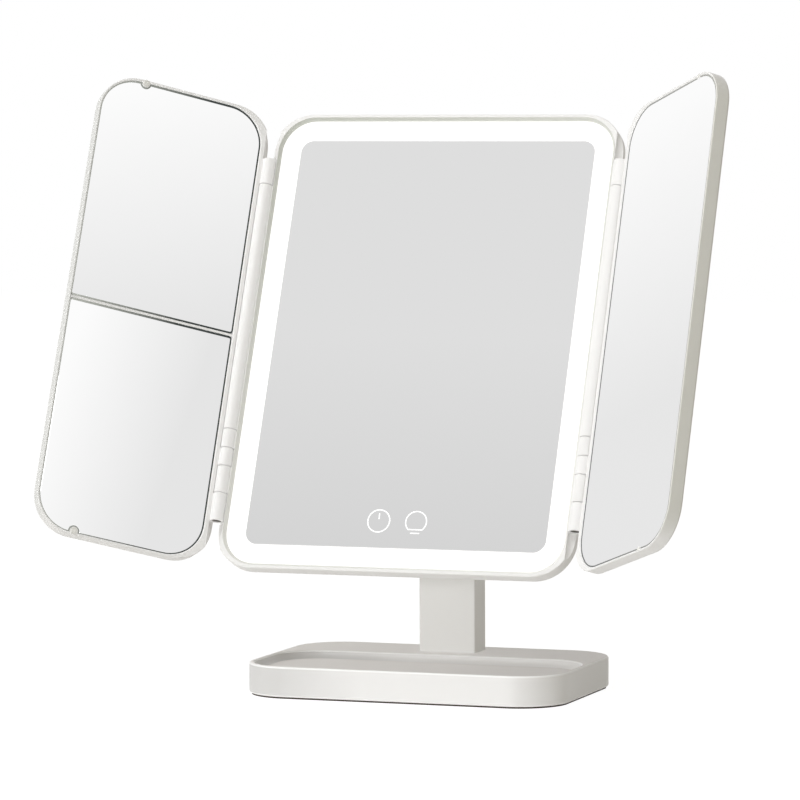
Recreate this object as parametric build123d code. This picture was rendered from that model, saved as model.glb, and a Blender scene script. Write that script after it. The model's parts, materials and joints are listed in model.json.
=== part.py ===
from build123d import *
import os
from math import cos, radians, sin, tan

# Lighted tri-fold makeup mirror on a weighted stand, in millimetres.
# World frame: X to the right, Y to the back, Z up, origin at the centre of the pad's underside.
# The panel and the wings are drawn flat, X across, Y up the panel and Z towards the user, with
# depths measured back from the rim's front face. They are then leaned back and set on the axle.

# Base
BASE_WIDTH = 165.0
BASE_DEPTH = 110.0
BASE_HEIGHT = 15.8
BASE_CORNER = 25.0
BASE_WALL = 2.2
BASE_EDGE = 1.0
PAD_THICK = 0.8
PAD_INSET = 1.2
COVER_THICK = 2.0
BALLAST_THICK = 3.0
BALLAST_INSET = 12.0
POST_INSET = 16.0
POST_RADIUS = 3.4

# Tray recess in the base's top
TRAY_RIM = 2.4
TRAY_DEPTH = 4.2
TRAY_FLOOR = 1.8
TRAY_FLOOR_ROUND = 3.0
TRAY_LIP_ROUND = 0.8
TRAY_TO_STEM = 10.0

# Stem, a rectangular column whose top bends forward to the tilt axle
STEM_WIDTH = 29.6
STEM_THICK = 16.8
STEM_WALL = 2.0
STEM_EDGE = 0.8
STEM_TO_BACK = 11.9
STEM_BEND_ROUND = 8.0
NECK_REACH = 19.7
NECK_DEG = 45.0
STEM_COVER_MARGIN = 6.0
STEM_BOSS_HEIGHT = 14.0
CORE_WIDTH = 13.0
CORE_THICK = 2.2
CORE_FOOT_WIDTH = 26.0
CORE_FOOT_LENGTH = 30.0
CORE_EYE_WALL = 1.5
CORE_SLOT_GAP = 0.6

# Tilt hinge
AXLE_RADIUS = 2.5
BUSH_WALL = 1.6
WASHER_THICK = 0.5
WASHER_RADIUS = 7.2
EAR_GAP = 0.8
EAR_THICK = 5.0
EAR_RADIUS = 8.5
EAR_FOOT = 34.0
BRACKET_WIDTH = 62.0
BRACKET_HEIGHT = 44.0
BRACKET_THICK = 3.0
BRACKET_CORNER = 7.0
BRACKET_SCREW_INSET = 6.0
BACKING_THICK = 1.5
BACKING_INSET = 1.5
SPRING_WASHER_THICK = 1.0
SPRING_WASHER_WALL = 2.0
NUT_THICK = 3.5
NUT_RADIUS = 4.6
CAP_RADIUS = 8.0
CAP_WALL = 1.2
CAP_ROUND = 0.6

# Main panel
PANEL_WIDTH = 184.0
PANEL_HEIGHT = 239.4
PANEL_THICK = 16.0
PANEL_CORNER = 20.0
PANEL_GROUND = 64.8
LEAN_DEG = 23.0
PIVOT_BELOW_MID = 5.5
PIVOT_BEHIND = 18.1
RIM_SIDE = 4.3
RIM_END = 2.5
RIM_ROUND = 0.6
RIM_LIP = 1.0
OPENING_CORNER = 17.0
LEDGE_WIDTH = 2.3
LEDGE_THICK = 1.0
REAR_TAPER = 8.0
REAR_ROUND = 2.5
REAR_WALL = 1.8
REAR_SIDE_WALL = 2.25

# Glass and light, in layers behind the rim's front face
GLASS_SINK = 2.8
MIRROR_THICK = 1.5
TAPE_THICK = 0.4
TAPE_INSET = 4.0
MIRROR_MARGIN_SIDE = 10.2
MIRROR_MARGIN_END = 10.6
MIRROR_CORNER = 6.2
DIFFUSER_FLOOR = 1.0
REFLECTOR_FLANGE = 0.8
REFLECTOR_WALL = 1.2
CHANNEL_DEPTH = 3.7
PLATEAU_INSET = 3.1
STRIP_WIDTH = 8.0
STRIP_THICK = 0.4
LED_SIZE = 3.0
LED_THICK = 0.9
LED_PITCH = 24.0
STRIP_END_GAP = 8.5

# Touch marks, inlaid flush in the mirror
MARK_DEPTH = 0.3
MARK_STROKE = 0.5
MARK_HEIGHT = 26.8
MARK_SPACING = 19.3
MARK_SHIFT = 0.6
POWER_MARK_RADIUS = 5.9
POWER_TICK = 3.0
POWER_TICK_DROP = 2.0
LAMP_MARK_RADIUS = 5.6
LAMP_CHORD_DROP = 4.2
LAMP_DASH = 4.7
LAMP_DASH_DROP = 5.8

# Electronics behind the mirror
BOARD_WIDTH = 70.0
BOARD_HEIGHT = 24.0
BOARD_THICK = 1.2
BOARD_STANDOFF = 2.0
BOARD_POST = 1.8
BOARD_SHIFT = 14.0
BOARD_LOW = 20.0
TOUCH_PAD_RADIUS = 4.6
SOCKET_SHIFT = 32.0
SOCKET_WIDTH = 8.9
SOCKET_HEIGHT = 3.3
SOCKET_WALL = 0.35
TONGUE_WIDTH = 6.6
TONGUE_THICK = 0.7
BATTERY_WIDTH = 60.0
BATTERY_HEIGHT = 72.0
BATTERY_THICK = 5.0
BATTERY_CORNER = 3.0
BATTERY_BELOW_TOP = 28.0
WIRE_RADIUS = 0.7
WIRE_SPACING = 2.4
STRIP_WIRE_SHIFT = 16.0

# Wing hinges, from the bottom of the barrel up
BARREL_RADIUS = 3.4
BARREL_GAP = 0.3
HINGE_OUT = 0.5
HINGE_PROUD = 0.2
HINGE_BOTTOM = 23.0
HINGE_TOP = 24.6
WING_KNUCKLE_LOW = 14.5
MAIN_KNUCKLE_LOW = 14.0
WING_KNUCKLE_MID = 9.4
MAIN_KNUCKLE_MID = 9.8
WING_KNUCKLE_TOP = 14.0
KNUCKLE_GAP = 0.4
KNUCKLE_EDGE = 0.25
PIN_RADIUS = 1.0
PIN_GAP = 0.05
PIN_SHORT = 1.5
BARREL_MOUTH_RADIUS = 2.5
BARREL_MOUTH_DEPTH = 6.0

# Wings
WING_THICK = 7.5
WING_CORNER = 20.0
WING_SIDE_GAP = 0.6
WING_MEET_GAP = 0.5
WING_RIM = 1.1
WING_RIM_END = 1.3
WING_RIM_HINGE = 5.2
WING_RIM_ROUND = 0.5
WING_RIM_LIP = 0.5
WING_BACK_ROUND = 1.5
WING_OPENING_CORNER = 18.6
WING_GLASS_SINK = 0.6
WING_GLASS_THICK = 1.8
WING_TAPE_THICK = 0.3
WING_FLOOR = 1.3
WING_BACK_THICK = 1.4
WING_BACK_RIM = 1.8
WING_BACK_LEDGE = 1.0
LEFT_OPEN_DEG = 40.0
RIGHT_OPEN_DEG = 45.0
DIVIDER_WIDTH = 1.2
DIVIDER_SINK = 0.5
DIVIDER_BELOW_MID = 0.5
HALF_GLASS_CORNER = 3.0
BUMPER_DEPTH = 0.8
BUMPER_PROUD = 0.3
BUMPER_BOSS_WALL = 0.3
LEFT_BUMPER_RADIUS = 1.75
LEFT_LOW_BUMPER_OUT = 70.8
LEFT_LOW_BUMPER_END = 2.1
LEFT_TOP_BUMPER_OUT = 69.7
LEFT_TOP_BUMPER_END = 1.6
RIGHT_BUMPER_RADIUS = 1.0
RIGHT_LOW_BUMPER_OUT = 66.6
RIGHT_TOP_BUMPER_OUT = 71.0
RIGHT_BUMPER_END = 1.25

# Fasteners and fits
SCREW_RADIUS = 1.2
SCREW_HEAD_RADIUS = 2.6
SCREW_HEAD_THICK = 1.1
SCREW_LENGTH = 6.5
SCREW_BOSS_WALL = 2.0
REAR_SCREW_SIDE = 60.0
REAR_SCREW_END = 32.0
FIT_GAP = 0.15
SCREW_GAP = 0.05
LEFT_GLASS_GAP = 0.8
RIGHT_GLASS_GAP = 0.5
THROUGH = 1.0

# Places that follow from the sizes above
cover_top = PAD_THICK + COVER_THICK
ballast_top = cover_top + BALLAST_THICK
core_foot_top = ballast_top + CORE_THICK
tray_floor = BASE_HEIGHT - TRAY_DEPTH
tray_underside = tray_floor - TRAY_FLOOR
ledge_underside = BASE_HEIGHT - BASE_WALL
stem_y = BASE_DEPTH / 2 - STEM_TO_BACK - STEM_THICK / 2
stem_back = stem_y + STEM_THICK / 2
stem_inside = STEM_WIDTH / 2 - STEM_WALL
stem_boss_in = CORE_WIDTH / 2 + 2 * FIT_GAP
stem_screw_x = (stem_inside + stem_boss_in) / 2
tray_back = stem_y - STEM_THICK / 2 - TRAY_TO_STEM
tray_front = TRAY_RIM - BASE_DEPTH / 2
post_x = BASE_WIDTH / 2 - POST_INSET
post_y = BASE_DEPTH / 2 - POST_INSET

lean = radians(LEAN_DEG)
panel_mid = PANEL_HEIGHT / 2
pivot_up = panel_mid - PIVOT_BELOW_MID
pivot_back = PANEL_THICK + PIVOT_BEHIND
pivot_y = stem_y - NECK_REACH
pivot_z = PANEL_GROUND + pivot_up * cos(lean) - pivot_back * sin(lean)
panel_y = pivot_y - pivot_up * sin(lean) - pivot_back * cos(lean)
elbow_z = pivot_z - NECK_REACH * tan(radians(NECK_DEG))
bush_radius = AXLE_RADIUS + PIN_GAP + BUSH_WALL
ear_in = STEM_WIDTH / 2 + EAR_GAP
ear_out = ear_in + EAR_THICK
nut_end = ear_out + SPRING_WASHER_THICK + NUT_THICK

opening_width = PANEL_WIDTH - 2 * RIM_SIDE
opening_height = PANEL_HEIGHT - 2 * RIM_END
tape_front = GLASS_SINK + MIRROR_THICK
pocket_floor = tape_front + TAPE_THICK
diffuser_back = pocket_floor + DIFFUSER_FLOOR
ledge_front = diffuser_back + REFLECTOR_FLANGE
frame_depth = ledge_front + LEDGE_THICK
plateau_back = diffuser_back + REFLECTOR_WALL
channel_floor = diffuser_back + CHANNEL_DEPTH
channel_back = channel_floor + REFLECTOR_WALL
rear_inside = PANEL_THICK - REAR_WALL
board_front = plateau_back + BOARD_STANDOFF
board_back = board_front + BOARD_THICK
board_mid = BOARD_LOW + BOARD_HEIGHT / 2
battery_front = plateau_back + TAPE_THICK
battery_low = PANEL_HEIGHT - BATTERY_BELOW_TOP - BATTERY_HEIGHT
power_mark_x = MARK_SHIFT - MARK_SPACING / 2
lamp_mark_x = MARK_SHIFT + MARK_SPACING / 2

axis_x = PANEL_WIDTH / 2 + HINGE_OUT
groove_radius = BARREL_RADIUS + BARREL_GAP
wing_out = axis_x - WING_MEET_GAP
wing_width = wing_out - WING_SIDE_GAP
wing_mid_x = WING_SIDE_GAP + wing_width / 2
wing_opening_width = wing_width - WING_RIM - WING_RIM_HINGE
wing_opening_x = WING_SIDE_GAP + WING_RIM_HINGE + wing_opening_width / 2
wing_floor_front = WING_GLASS_SINK + WING_GLASS_THICK + WING_TAPE_THICK
wing_floor_back = wing_floor_front + WING_FLOOR
wing_back_front = WING_THICK - WING_BACK_THICK
divider_y = panel_mid - DIVIDER_BELOW_MID
left_bumper_places = [
    (LEFT_LOW_BUMPER_OUT, LEFT_LOW_BUMPER_END),
    (LEFT_TOP_BUMPER_OUT, PANEL_HEIGHT - LEFT_TOP_BUMPER_END),
]
right_bumper_places = [
    (RIGHT_LOW_BUMPER_OUT, RIGHT_BUMPER_END),
    (RIGHT_TOP_BUMPER_OUT, PANEL_HEIGHT - RIGHT_BUMPER_END),
]

panel_plane = Plane(
    origin=(0, panel_y, PANEL_GROUND),
    x_dir=(1, 0, 0),
    z_dir=(0, -cos(lean), sin(lean)),
)


# Shared shapes


def block(outline, low, high):
    """Extrude a flat outline between two heights."""
    return Pos(0, 0, low) * extrude(outline, high - low)


def layer(outline, front, back):
    """Extrude a flat outline between two depths behind the front face."""
    return block(outline, -back, -front)


def post(x, y, low, high, radius):
    """Upright round post between two heights."""
    return block(Pos(x, y) * Circle(radius), low, high)


def stud(x, y, front, back, radius):
    """Round post between two depths behind the front face."""
    return layer(Pos(x, y) * Circle(radius), front, back)


def cross_rod(low, high, radius):
    """Round rod along X on the tilt axis, between two stations."""
    rod = extrude(Plane.YZ * Circle(radius), high - low)
    return Pos(low, pivot_y, pivot_z) * rod


def side_rod(low, high, radius):
    """Round rod along Y on the local origin, between two heights of the panel."""
    rod = extrude(Plane.XZ * Circle(radius), -(high - low))
    return Pos(0, low, 0) * rod


def rounded(width, height, corner, x=0.0, y=0.0):
    """Rounded rectangle about a centre."""
    return Pos(x, y) * RectangleRounded(width, height, corner)


def both_sides(part):
    """A part and its mirror image across the middle plane, as separate solids."""
    return Compound(children=[part, mirror(part, Plane.YZ)])


def opening_edges(body):
    """Edges of the opening in a body's front or top face."""
    return body.faces().sort_by(Axis.Z)[-1].inner_wires()[0].edges()


def group(parts):
    """Separate solids that share one node."""
    return Compound(children=list(parts))


# Stand


def base_outline(inset):
    """Outline of the base, drawn in by a wall."""
    return rounded(BASE_WIDTH - 2 * inset, BASE_DEPTH - 2 * inset, BASE_CORNER - inset)


def post_places():
    """Places of the base's screw posts."""
    return [(x, y) for x in (-post_x, post_x) for y in (-post_y, post_y)]


def stem_screw_places():
    """Places of the two screws that hold the stem."""
    return [(-stem_screw_x, stem_y), (stem_screw_x, stem_y)]


def base_tray():
    """Base moulding: tray recess in front, ledge for the stem behind, open below."""
    body = block(base_outline(0), PAD_THICK, BASE_HEIGHT)
    body = fillet(body.edges().group_by(Axis.Z)[-1], BASE_EDGE)
    body = fillet(body.edges().group_by(Axis.Z)[0], BASE_EDGE)
    depth = tray_back - tray_front
    width = BASE_WIDTH - 2 * TRAY_RIM
    recess = rounded(width, depth, BASE_CORNER - TRAY_RIM, y=tray_front + depth / 2)
    cut = block(recess, tray_floor, BASE_HEIGHT + THROUGH)
    cut = fillet(cut.edges().group_by(Axis.Z)[0], TRAY_FLOOR_ROUND)
    body -= cut
    body = fillet(opening_edges(body), TRAY_LIP_ROUND)
    body -= block(base_outline(BASE_WALL), 0, tray_underside)
    ledge_depth = BASE_DEPTH / 2 - BASE_WALL - (tray_back + BASE_WALL)
    ledge_mid = tray_back + BASE_WALL + ledge_depth / 2
    ledge_room = base_outline(BASE_WALL) & Pos(0, ledge_mid) * Rectangle(BASE_WIDTH, ledge_depth)
    body -= block(ledge_room, 0, ledge_underside)
    for x, y in post_places():
        roof = ledge_underside if y > tray_back else tray_underside
        body += post(x, y, cover_top, roof, POST_RADIUS)
        body -= post(x, y, cover_top, PAD_THICK + SCREW_LENGTH, SCREW_RADIUS + SCREW_GAP)
    slot = Pos(0, stem_y) * Rectangle(CORE_WIDTH + CORE_SLOT_GAP, CORE_THICK + CORE_SLOT_GAP)
    body -= block(slot, tray_underside, BASE_HEIGHT + THROUGH)
    for x, y in stem_screw_places():
        body -= post(x, y, tray_underside, BASE_HEIGHT + THROUGH, SCREW_RADIUS + SCREW_GAP)
    return body


def base_cover():
    """Plate that closes the base from below, with sunk screw seats."""
    body = block(base_outline(BASE_WALL + FIT_GAP), PAD_THICK, cover_top)
    for x, y in post_places():
        body -= post(x, y, 0, cover_top, SCREW_RADIUS + SCREW_GAP)
        body -= post(x, y, 0, PAD_THICK + SCREW_HEAD_THICK, SCREW_HEAD_RADIUS + FIT_GAP)
    return body


def base_pad():
    """Anti-slip sheet over the whole underside."""
    return block(base_outline(PAD_INSET), 0, PAD_THICK)


def base_ballast():
    """Steel plate on the cover, clear of the screw posts."""
    width = 2 * (post_x - POST_RADIUS - BALLAST_THICK)
    depth = BASE_DEPTH - 2 * BALLAST_INSET
    return block(rounded(width, depth, BALLAST_INSET), cover_top, ballast_top)


def base_screws():
    """Four screws up through the cover."""
    screws = []
    for x, y in post_places():
        head = post(x, y, PAD_THICK, PAD_THICK + SCREW_HEAD_THICK, SCREW_HEAD_RADIUS)
        screws.append(head + post(x, y, PAD_THICK, PAD_THICK + SCREW_LENGTH, SCREW_RADIUS))
    return group(screws)


def arm_face(half, low):
    """Side outline of the bent arm, at a given half thickness, from a given height up."""
    angle = radians(NECK_DEG)
    along = (-cos(angle), sin(angle))
    across = (sin(angle), cos(angle))
    back = stem_y + half
    front = stem_y - half
    shoulder = (stem_y + half * across[0], elbow_z + half * across[1])
    bulge = (stem_y + half * cos(angle / 2), elbow_z + half * sin(angle / 2))
    head_top = (pivot_y + half * across[0], pivot_z + half * across[1])
    head_tip = (pivot_y + half * along[0], pivot_z + half * along[1])
    head_low = (pivot_y - half * across[0], pivot_z - half * across[1])
    run = (front - head_low[0]) / cos(angle)
    throat = (front, head_low[1] - run * sin(angle))
    edges = [
        Line((back, low), (back, elbow_z)),
        ThreePointArc((back, elbow_z), bulge, shoulder),
        Line(shoulder, head_top),
        ThreePointArc(head_top, head_tip, head_low),
        Line(head_low, throat),
        Line(throat, (front, low)),
        Line((front, low), (back, low)),
    ]
    face = make_face(Curve() + edges)
    corner = face.vertices().sort_by_distance((throat[0], throat[1], 0))[0]
    return fillet(corner, STEM_BEND_ROUND + STEM_THICK / 2 - half)


def arm(half, low, width):
    """The bent arm as a solid, centred on the middle plane."""
    return extrude(Plane.YZ * arm_face(half, low), width / 2, both=True)


def stem_cover_block(gap):
    """The panel that closes the column's back, grown by a gap for its opening."""
    low = BASE_HEIGHT + STEM_COVER_MARGIN / 2 - gap
    high = elbow_z - STEM_COVER_MARGIN + gap
    width = 2 * (stem_inside - 2 * FIT_GAP + gap)
    outline = Pos(0, stem_back - STEM_WALL / 2) * Rectangle(width, STEM_WALL)
    return block(outline, low, high)


def stem_shell():
    """Hollow column with its bent neck and round head."""
    body = arm(STEM_THICK / 2, BASE_HEIGHT, STEM_WIDTH)
    sides = body.edges().group_by(Axis.X)
    rims = [e for e in sides[0] + sides[-1] if e.center().Z > BASE_HEIGHT + STEM_EDGE]
    body = fillet(rims, STEM_EDGE)
    body -= arm(STEM_THICK / 2 - STEM_WALL, BASE_HEIGHT - THROUGH, 2 * stem_inside)
    for x, y in stem_screw_places():
        room = Pos(x, y) * Rectangle(stem_inside - stem_boss_in, STEM_THICK - 2 * STEM_WALL)
        body += block(room, BASE_HEIGHT, BASE_HEIGHT + STEM_BOSS_HEIGHT)
        body -= post(x, y, 0, BASE_HEIGHT + SCREW_LENGTH, SCREW_RADIUS + SCREW_GAP)
    body -= stem_cover_block(FIT_GAP)
    reach = STEM_WIDTH / 2 + THROUGH
    body -= cross_rod(-reach, reach, bush_radius + SCREW_GAP)
    return body


def stem_core():
    """Steel strap from a foot on the ballast to an eye round the bush."""
    strap = arm(CORE_THICK / 2, ballast_top, CORE_WIDTH)
    foot_mid = stem_back - CORE_FOOT_LENGTH / 2 + CORE_THICK
    foot = Pos(0, foot_mid) * Rectangle(CORE_FOOT_WIDTH, CORE_FOOT_LENGTH)
    body = strap + block(foot, ballast_top, core_foot_top)
    half = CORE_WIDTH / 2
    body += cross_rod(-half, half, bush_radius + FIT_GAP + CORE_EYE_WALL)
    return body - cross_rod(-half - THROUGH, half + THROUGH, bush_radius + SCREW_GAP)


def stem_screws():
    """Two screws up through the ledge into the column's feet."""
    screws = []
    for x, y in stem_screw_places():
        seat = ledge_underside
        head = post(x, y, seat - SCREW_HEAD_THICK, seat, SCREW_HEAD_RADIUS)
        screws.append(head + post(x, y, seat, seat + SCREW_LENGTH, SCREW_RADIUS))
    return group(screws)


def tilt_bush():
    """Plain bearing through the stem's head."""
    half = STEM_WIDTH / 2
    bore = cross_rod(-half - THROUGH, half + THROUGH, AXLE_RADIUS + PIN_GAP)
    return cross_rod(-half, half, bush_radius) - bore


def friction_washers():
    """A washer on each side of the stem's head."""
    low = STEM_WIDTH / 2
    ring = cross_rod(low, low + WASHER_THICK, WASHER_RADIUS)
    ring -= cross_rod(low, low + WASHER_THICK, AXLE_RADIUS + PIN_GAP)
    return both_sides(ring)


# Tilt hinge, the side that turns with the panel


def tilt_axle():
    """Bolt through both ears and the bush, with a round head."""
    shank = cross_rod(-ear_out, nut_end, AXLE_RADIUS)
    return shank + cross_rod(-ear_out - NUT_THICK, -ear_out, NUT_RADIUS)


def spring_washer():
    """Disc spring that sets the hinge's friction."""
    low = ear_out
    ring = cross_rod(low, low + SPRING_WASHER_THICK, AXLE_RADIUS + SPRING_WASHER_WALL)
    return ring - cross_rod(low, low + SPRING_WASHER_THICK, AXLE_RADIUS + PIN_GAP)


def tilt_nut():
    """Hexagon lock nut on the axle."""
    low = ear_out + SPRING_WASHER_THICK
    prism = extrude(Plane.YZ * RegularPolygon(NUT_RADIUS, 6), NUT_THICK)
    bore = cross_rod(low, low + NUT_THICK, AXLE_RADIUS + PIN_GAP)
    return Pos(low, pivot_y, pivot_z) * prism - bore


def axle_caps():
    """Round caps over the axle's head and nut."""
    deep = nut_end + FIT_GAP
    cap = cross_rod(ear_out, deep + CAP_WALL, CAP_RADIUS)
    rim = cap.edges().group_by(Axis.X)[-1]
    cap = fillet(rim, CAP_ROUND)
    return both_sides(cap - cross_rod(ear_out, deep, NUT_RADIUS + CAP_WALL))


def bracket_screw_places():
    """Places of the four bracket screws on the panel's back."""
    x = BRACKET_WIDTH / 2 - BRACKET_SCREW_INSET
    y = BRACKET_HEIGHT / 2 - BRACKET_SCREW_INSET
    return [(side * x, pivot_up + end * y) for side in (-1, 1) for end in (-1, 1)]


def hinge_bracket():
    """Plate on the panel's back with two ears that carry the axle."""
    plate = rounded(BRACKET_WIDTH, BRACKET_HEIGHT, BRACKET_CORNER, y=pivot_up)
    body = layer(plate, PANEL_THICK, PANEL_THICK + BRACKET_THICK)
    body = fillet(body.edges().group_by(Axis.Z)[0], RIM_ROUND)
    foot = EAR_FOOT / 2
    web = Polyline(
        (pivot_up - foot, -PANEL_THICK),
        (pivot_up + foot, -PANEL_THICK),
        (pivot_up + EAR_RADIUS, -pivot_back),
        (pivot_up - EAR_RADIUS, -pivot_back),
        close=True,
    )
    profile = make_face(web) + Pos(pivot_up, -pivot_back) * Circle(EAR_RADIUS)
    profile -= Pos(pivot_up, -pivot_back) * Circle(AXLE_RADIUS + PIN_GAP)
    ear = Pos(ear_in, 0, 0) * extrude(Plane.YZ * profile, EAR_THICK)
    body += ear
    body += mirror(ear, Plane.YZ)
    seat = PANEL_THICK + BRACKET_THICK
    for x, y in bracket_screw_places():
        body -= stud(x, y, 0, seat + THROUGH, SCREW_RADIUS + SCREW_GAP)
        body -= stud(x, y, seat - SCREW_HEAD_THICK, seat + THROUGH, SCREW_HEAD_RADIUS + FIT_GAP)
    return body


def backing_plate():
    """Steel plate inside the back that spreads the bracket's load."""
    width = BRACKET_WIDTH - 2 * BACKING_INSET
    height = BRACKET_HEIGHT - 2 * BACKING_INSET
    outline = rounded(width, height, BRACKET_CORNER, y=pivot_up)
    body = layer(outline, rear_inside - BACKING_THICK, rear_inside)
    for x, y in bracket_screw_places():
        body -= stud(x, y, 0, PANEL_THICK, SCREW_RADIUS + SCREW_GAP)
    return body


def bracket_screws():
    """Four screws through the bracket and the back into the backing plate."""
    seat = PANEL_THICK + BRACKET_THICK
    screws = []
    for x, y in bracket_screw_places():
        head = stud(x, y, seat - SCREW_HEAD_THICK, seat, SCREW_HEAD_RADIUS)
        screws.append(head + stud(x, y, seat - SCREW_LENGTH, seat, SCREW_RADIUS))
    return group(screws)


# Wing hinges


def hinge_spans():
    """The barrel from the bottom up, as owner, low end and high end."""
    others = WING_KNUCKLE_LOW + MAIN_KNUCKLE_LOW + WING_KNUCKLE_MID + MAIN_KNUCKLE_MID
    others += WING_KNUCKLE_TOP
    long_barrel = PANEL_HEIGHT - HINGE_BOTTOM - HINGE_TOP - others
    lengths = [
        ("wing", WING_KNUCKLE_LOW),
        ("main", MAIN_KNUCKLE_LOW),
        ("wing", WING_KNUCKLE_MID),
        ("main", MAIN_KNUCKLE_MID),
        ("main", long_barrel),
        ("wing", WING_KNUCKLE_TOP),
    ]
    spans = []
    low = HINGE_BOTTOM
    for owner, length in lengths:
        spans.append((owner, low + KNUCKLE_GAP / 2, low + length - KNUCKLE_GAP / 2))
        low += length
    return spans


def knuckles(owner):
    """The lengths of barrel that belong to one side, on the local origin."""
    lengths = []
    for name, low, high in hinge_spans():
        if name == owner:
            barrel = side_rod(low, high, BARREL_RADIUS)
            ends = barrel.edges().filter_by(GeomType.CIRCLE)
            lengths.append(chamfer(ends, KNUCKLE_EDGE))
    return lengths


def grooves(owner):
    """Room for the other side's lengths of barrel, on the local origin."""
    rooms = []
    low = -THROUGH
    for name, start, end in hinge_spans():
        if name == owner:
            rooms.append(side_rod(low, start, groove_radius))
            low = end
    rooms.append(side_rod(low, PANEL_HEIGHT + THROUGH, groove_radius))
    return rooms


def pin_bore():
    """Bore for the hinge pin, open at the bottom and closed at the top."""
    top = PANEL_HEIGHT - HINGE_TOP - PIN_SHORT
    bore = side_rod(HINGE_BOTTOM - THROUGH, top, PIN_RADIUS + PIN_GAP)
    mouth = side_rod(HINGE_BOTTOM, HINGE_BOTTOM + BARREL_MOUTH_DEPTH, BARREL_MOUTH_RADIUS)
    return bore + mouth


def hinge_pin(side):
    """Steel pin through one barrel."""
    low = HINGE_BOTTOM + BARREL_MOUTH_DEPTH
    high = PANEL_HEIGHT - HINGE_TOP - PIN_SHORT - FIT_GAP
    return Pos(side * axis_x, 0, HINGE_PROUD) * side_rod(low, high, PIN_RADIUS)


# Main panel


def panel_outline(inset):
    """Outline of the main panel, drawn in by an inset."""
    width = PANEL_WIDTH - 2 * inset
    height = PANEL_HEIGHT - 2 * inset
    return rounded(width, height, PANEL_CORNER - inset, y=panel_mid)


def opening_outline(inset):
    """Outline of the rim's opening, drawn in by an inset."""
    width = opening_width - 2 * inset
    height = opening_height - 2 * inset
    return rounded(width, height, OPENING_CORNER - inset, y=panel_mid)


def mirror_outline(inset):
    """Outline of the middle mirror, drawn in by an inset."""
    width = opening_width - 2 * (MIRROR_MARGIN_SIDE + inset)
    height = opening_height - 2 * (MIRROR_MARGIN_END + inset)
    corner = max(MIRROR_CORNER - inset, RIM_ROUND)
    return rounded(width, height, corner, y=panel_mid)


def main_frame():
    """Rim and side walls, a ledge inside, and the main lengths of both hinge barrels."""
    body = layer(panel_outline(0), 0, frame_depth)
    body = fillet(body.edges().group_by(Axis.Z)[-1], RIM_ROUND)
    body -= layer(opening_outline(0), -THROUGH, ledge_front)
    body = chamfer(opening_edges(body), RIM_LIP)
    body -= layer(opening_outline(LEDGE_WIDTH), 0, frame_depth)
    for side in (-1, 1):
        place = Pos(side * axis_x, 0, HINGE_PROUD)
        for room in grooves("main"):
            body -= place * room
        for length in knuckles("main"):
            body += place * length
        body -= place * pin_bore()
    return body


def tapered(front, back, front_inset, back_inset):
    """Panel outline that narrows from one depth to another."""
    near = Pos(0, 0, -front) * panel_outline(front_inset)
    far = Pos(0, 0, -back) * panel_outline(back_inset)
    return loft([near, far], ruled=True)


def rear_screw_places():
    """Places of the six screws in the back."""
    ends = (REAR_SCREW_END, panel_mid, PANEL_HEIGHT - REAR_SCREW_END)
    return [(side * REAR_SCREW_SIDE, y) for side in (-1, 1) for y in ends]


def socket_outline(inset):
    """Stadium outline of the charging socket, drawn in by an inset."""
    height = SOCKET_HEIGHT - 2 * inset
    width = SOCKET_WIDTH - 2 * inset
    return Pos(SOCKET_SHIFT, board_mid) * SlotOverall(width, height)


def rear_shell():
    """Back moulding with tapered edges, screw seats and the socket's hole."""
    body = tapered(frame_depth, PANEL_THICK, 0, REAR_TAPER)
    body = fillet(body.edges().group_by(Axis.Z)[0], REAR_ROUND)
    slope = REAR_TAPER / (PANEL_THICK - frame_depth)
    far_wall = REAR_SIDE_WALL + slope * (rear_inside - frame_depth)
    body -= tapered(frame_depth, rear_inside, REAR_SIDE_WALL, far_wall)
    for x, y in rear_screw_places():
        body -= stud(x, y, 0, PANEL_THICK + THROUGH, SCREW_RADIUS + SCREW_GAP)
        seat = PANEL_THICK - SCREW_HEAD_THICK
        body -= stud(x, y, seat, PANEL_THICK + THROUGH, SCREW_HEAD_RADIUS + FIT_GAP)
    for x, y in bracket_screw_places():
        body -= stud(x, y, 0, PANEL_THICK + THROUGH, SCREW_RADIUS + SCREW_GAP)
    return body - layer(socket_outline(-FIT_GAP), 0, PANEL_THICK + THROUGH)


def rear_screws():
    """Six screws through the back into the reflector's posts."""
    screws = []
    for x, y in rear_screw_places():
        head = stud(x, y, PANEL_THICK - SCREW_HEAD_THICK, PANEL_THICK, SCREW_HEAD_RADIUS)
        screws.append(head + stud(x, y, PANEL_THICK - SCREW_LENGTH, PANEL_THICK, SCREW_RADIUS))
    return group(screws)


def light_diffuser():
    """Opal plate whose border lights up, with a pocket for the mirror."""
    body = layer(opening_outline(FIT_GAP), GLASS_SINK, diffuser_back)
    return body - layer(mirror_outline(-FIT_GAP / 2), 0, pocket_floor)


def ring(radius):
    """Flat ring of one mark stroke, given its outer radius."""
    return Circle(radius) - Circle(radius - MARK_STROKE)


def power_mark_face():
    """Ring with a short tick in its upper half."""
    tick_top = POWER_MARK_RADIUS - POWER_TICK_DROP
    tick = Pos(0, tick_top - POWER_TICK / 2) * Rectangle(MARK_STROKE, POWER_TICK)
    return Pos(power_mark_x, MARK_HEIGHT) * (ring(POWER_MARK_RADIUS) + tick)


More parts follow.
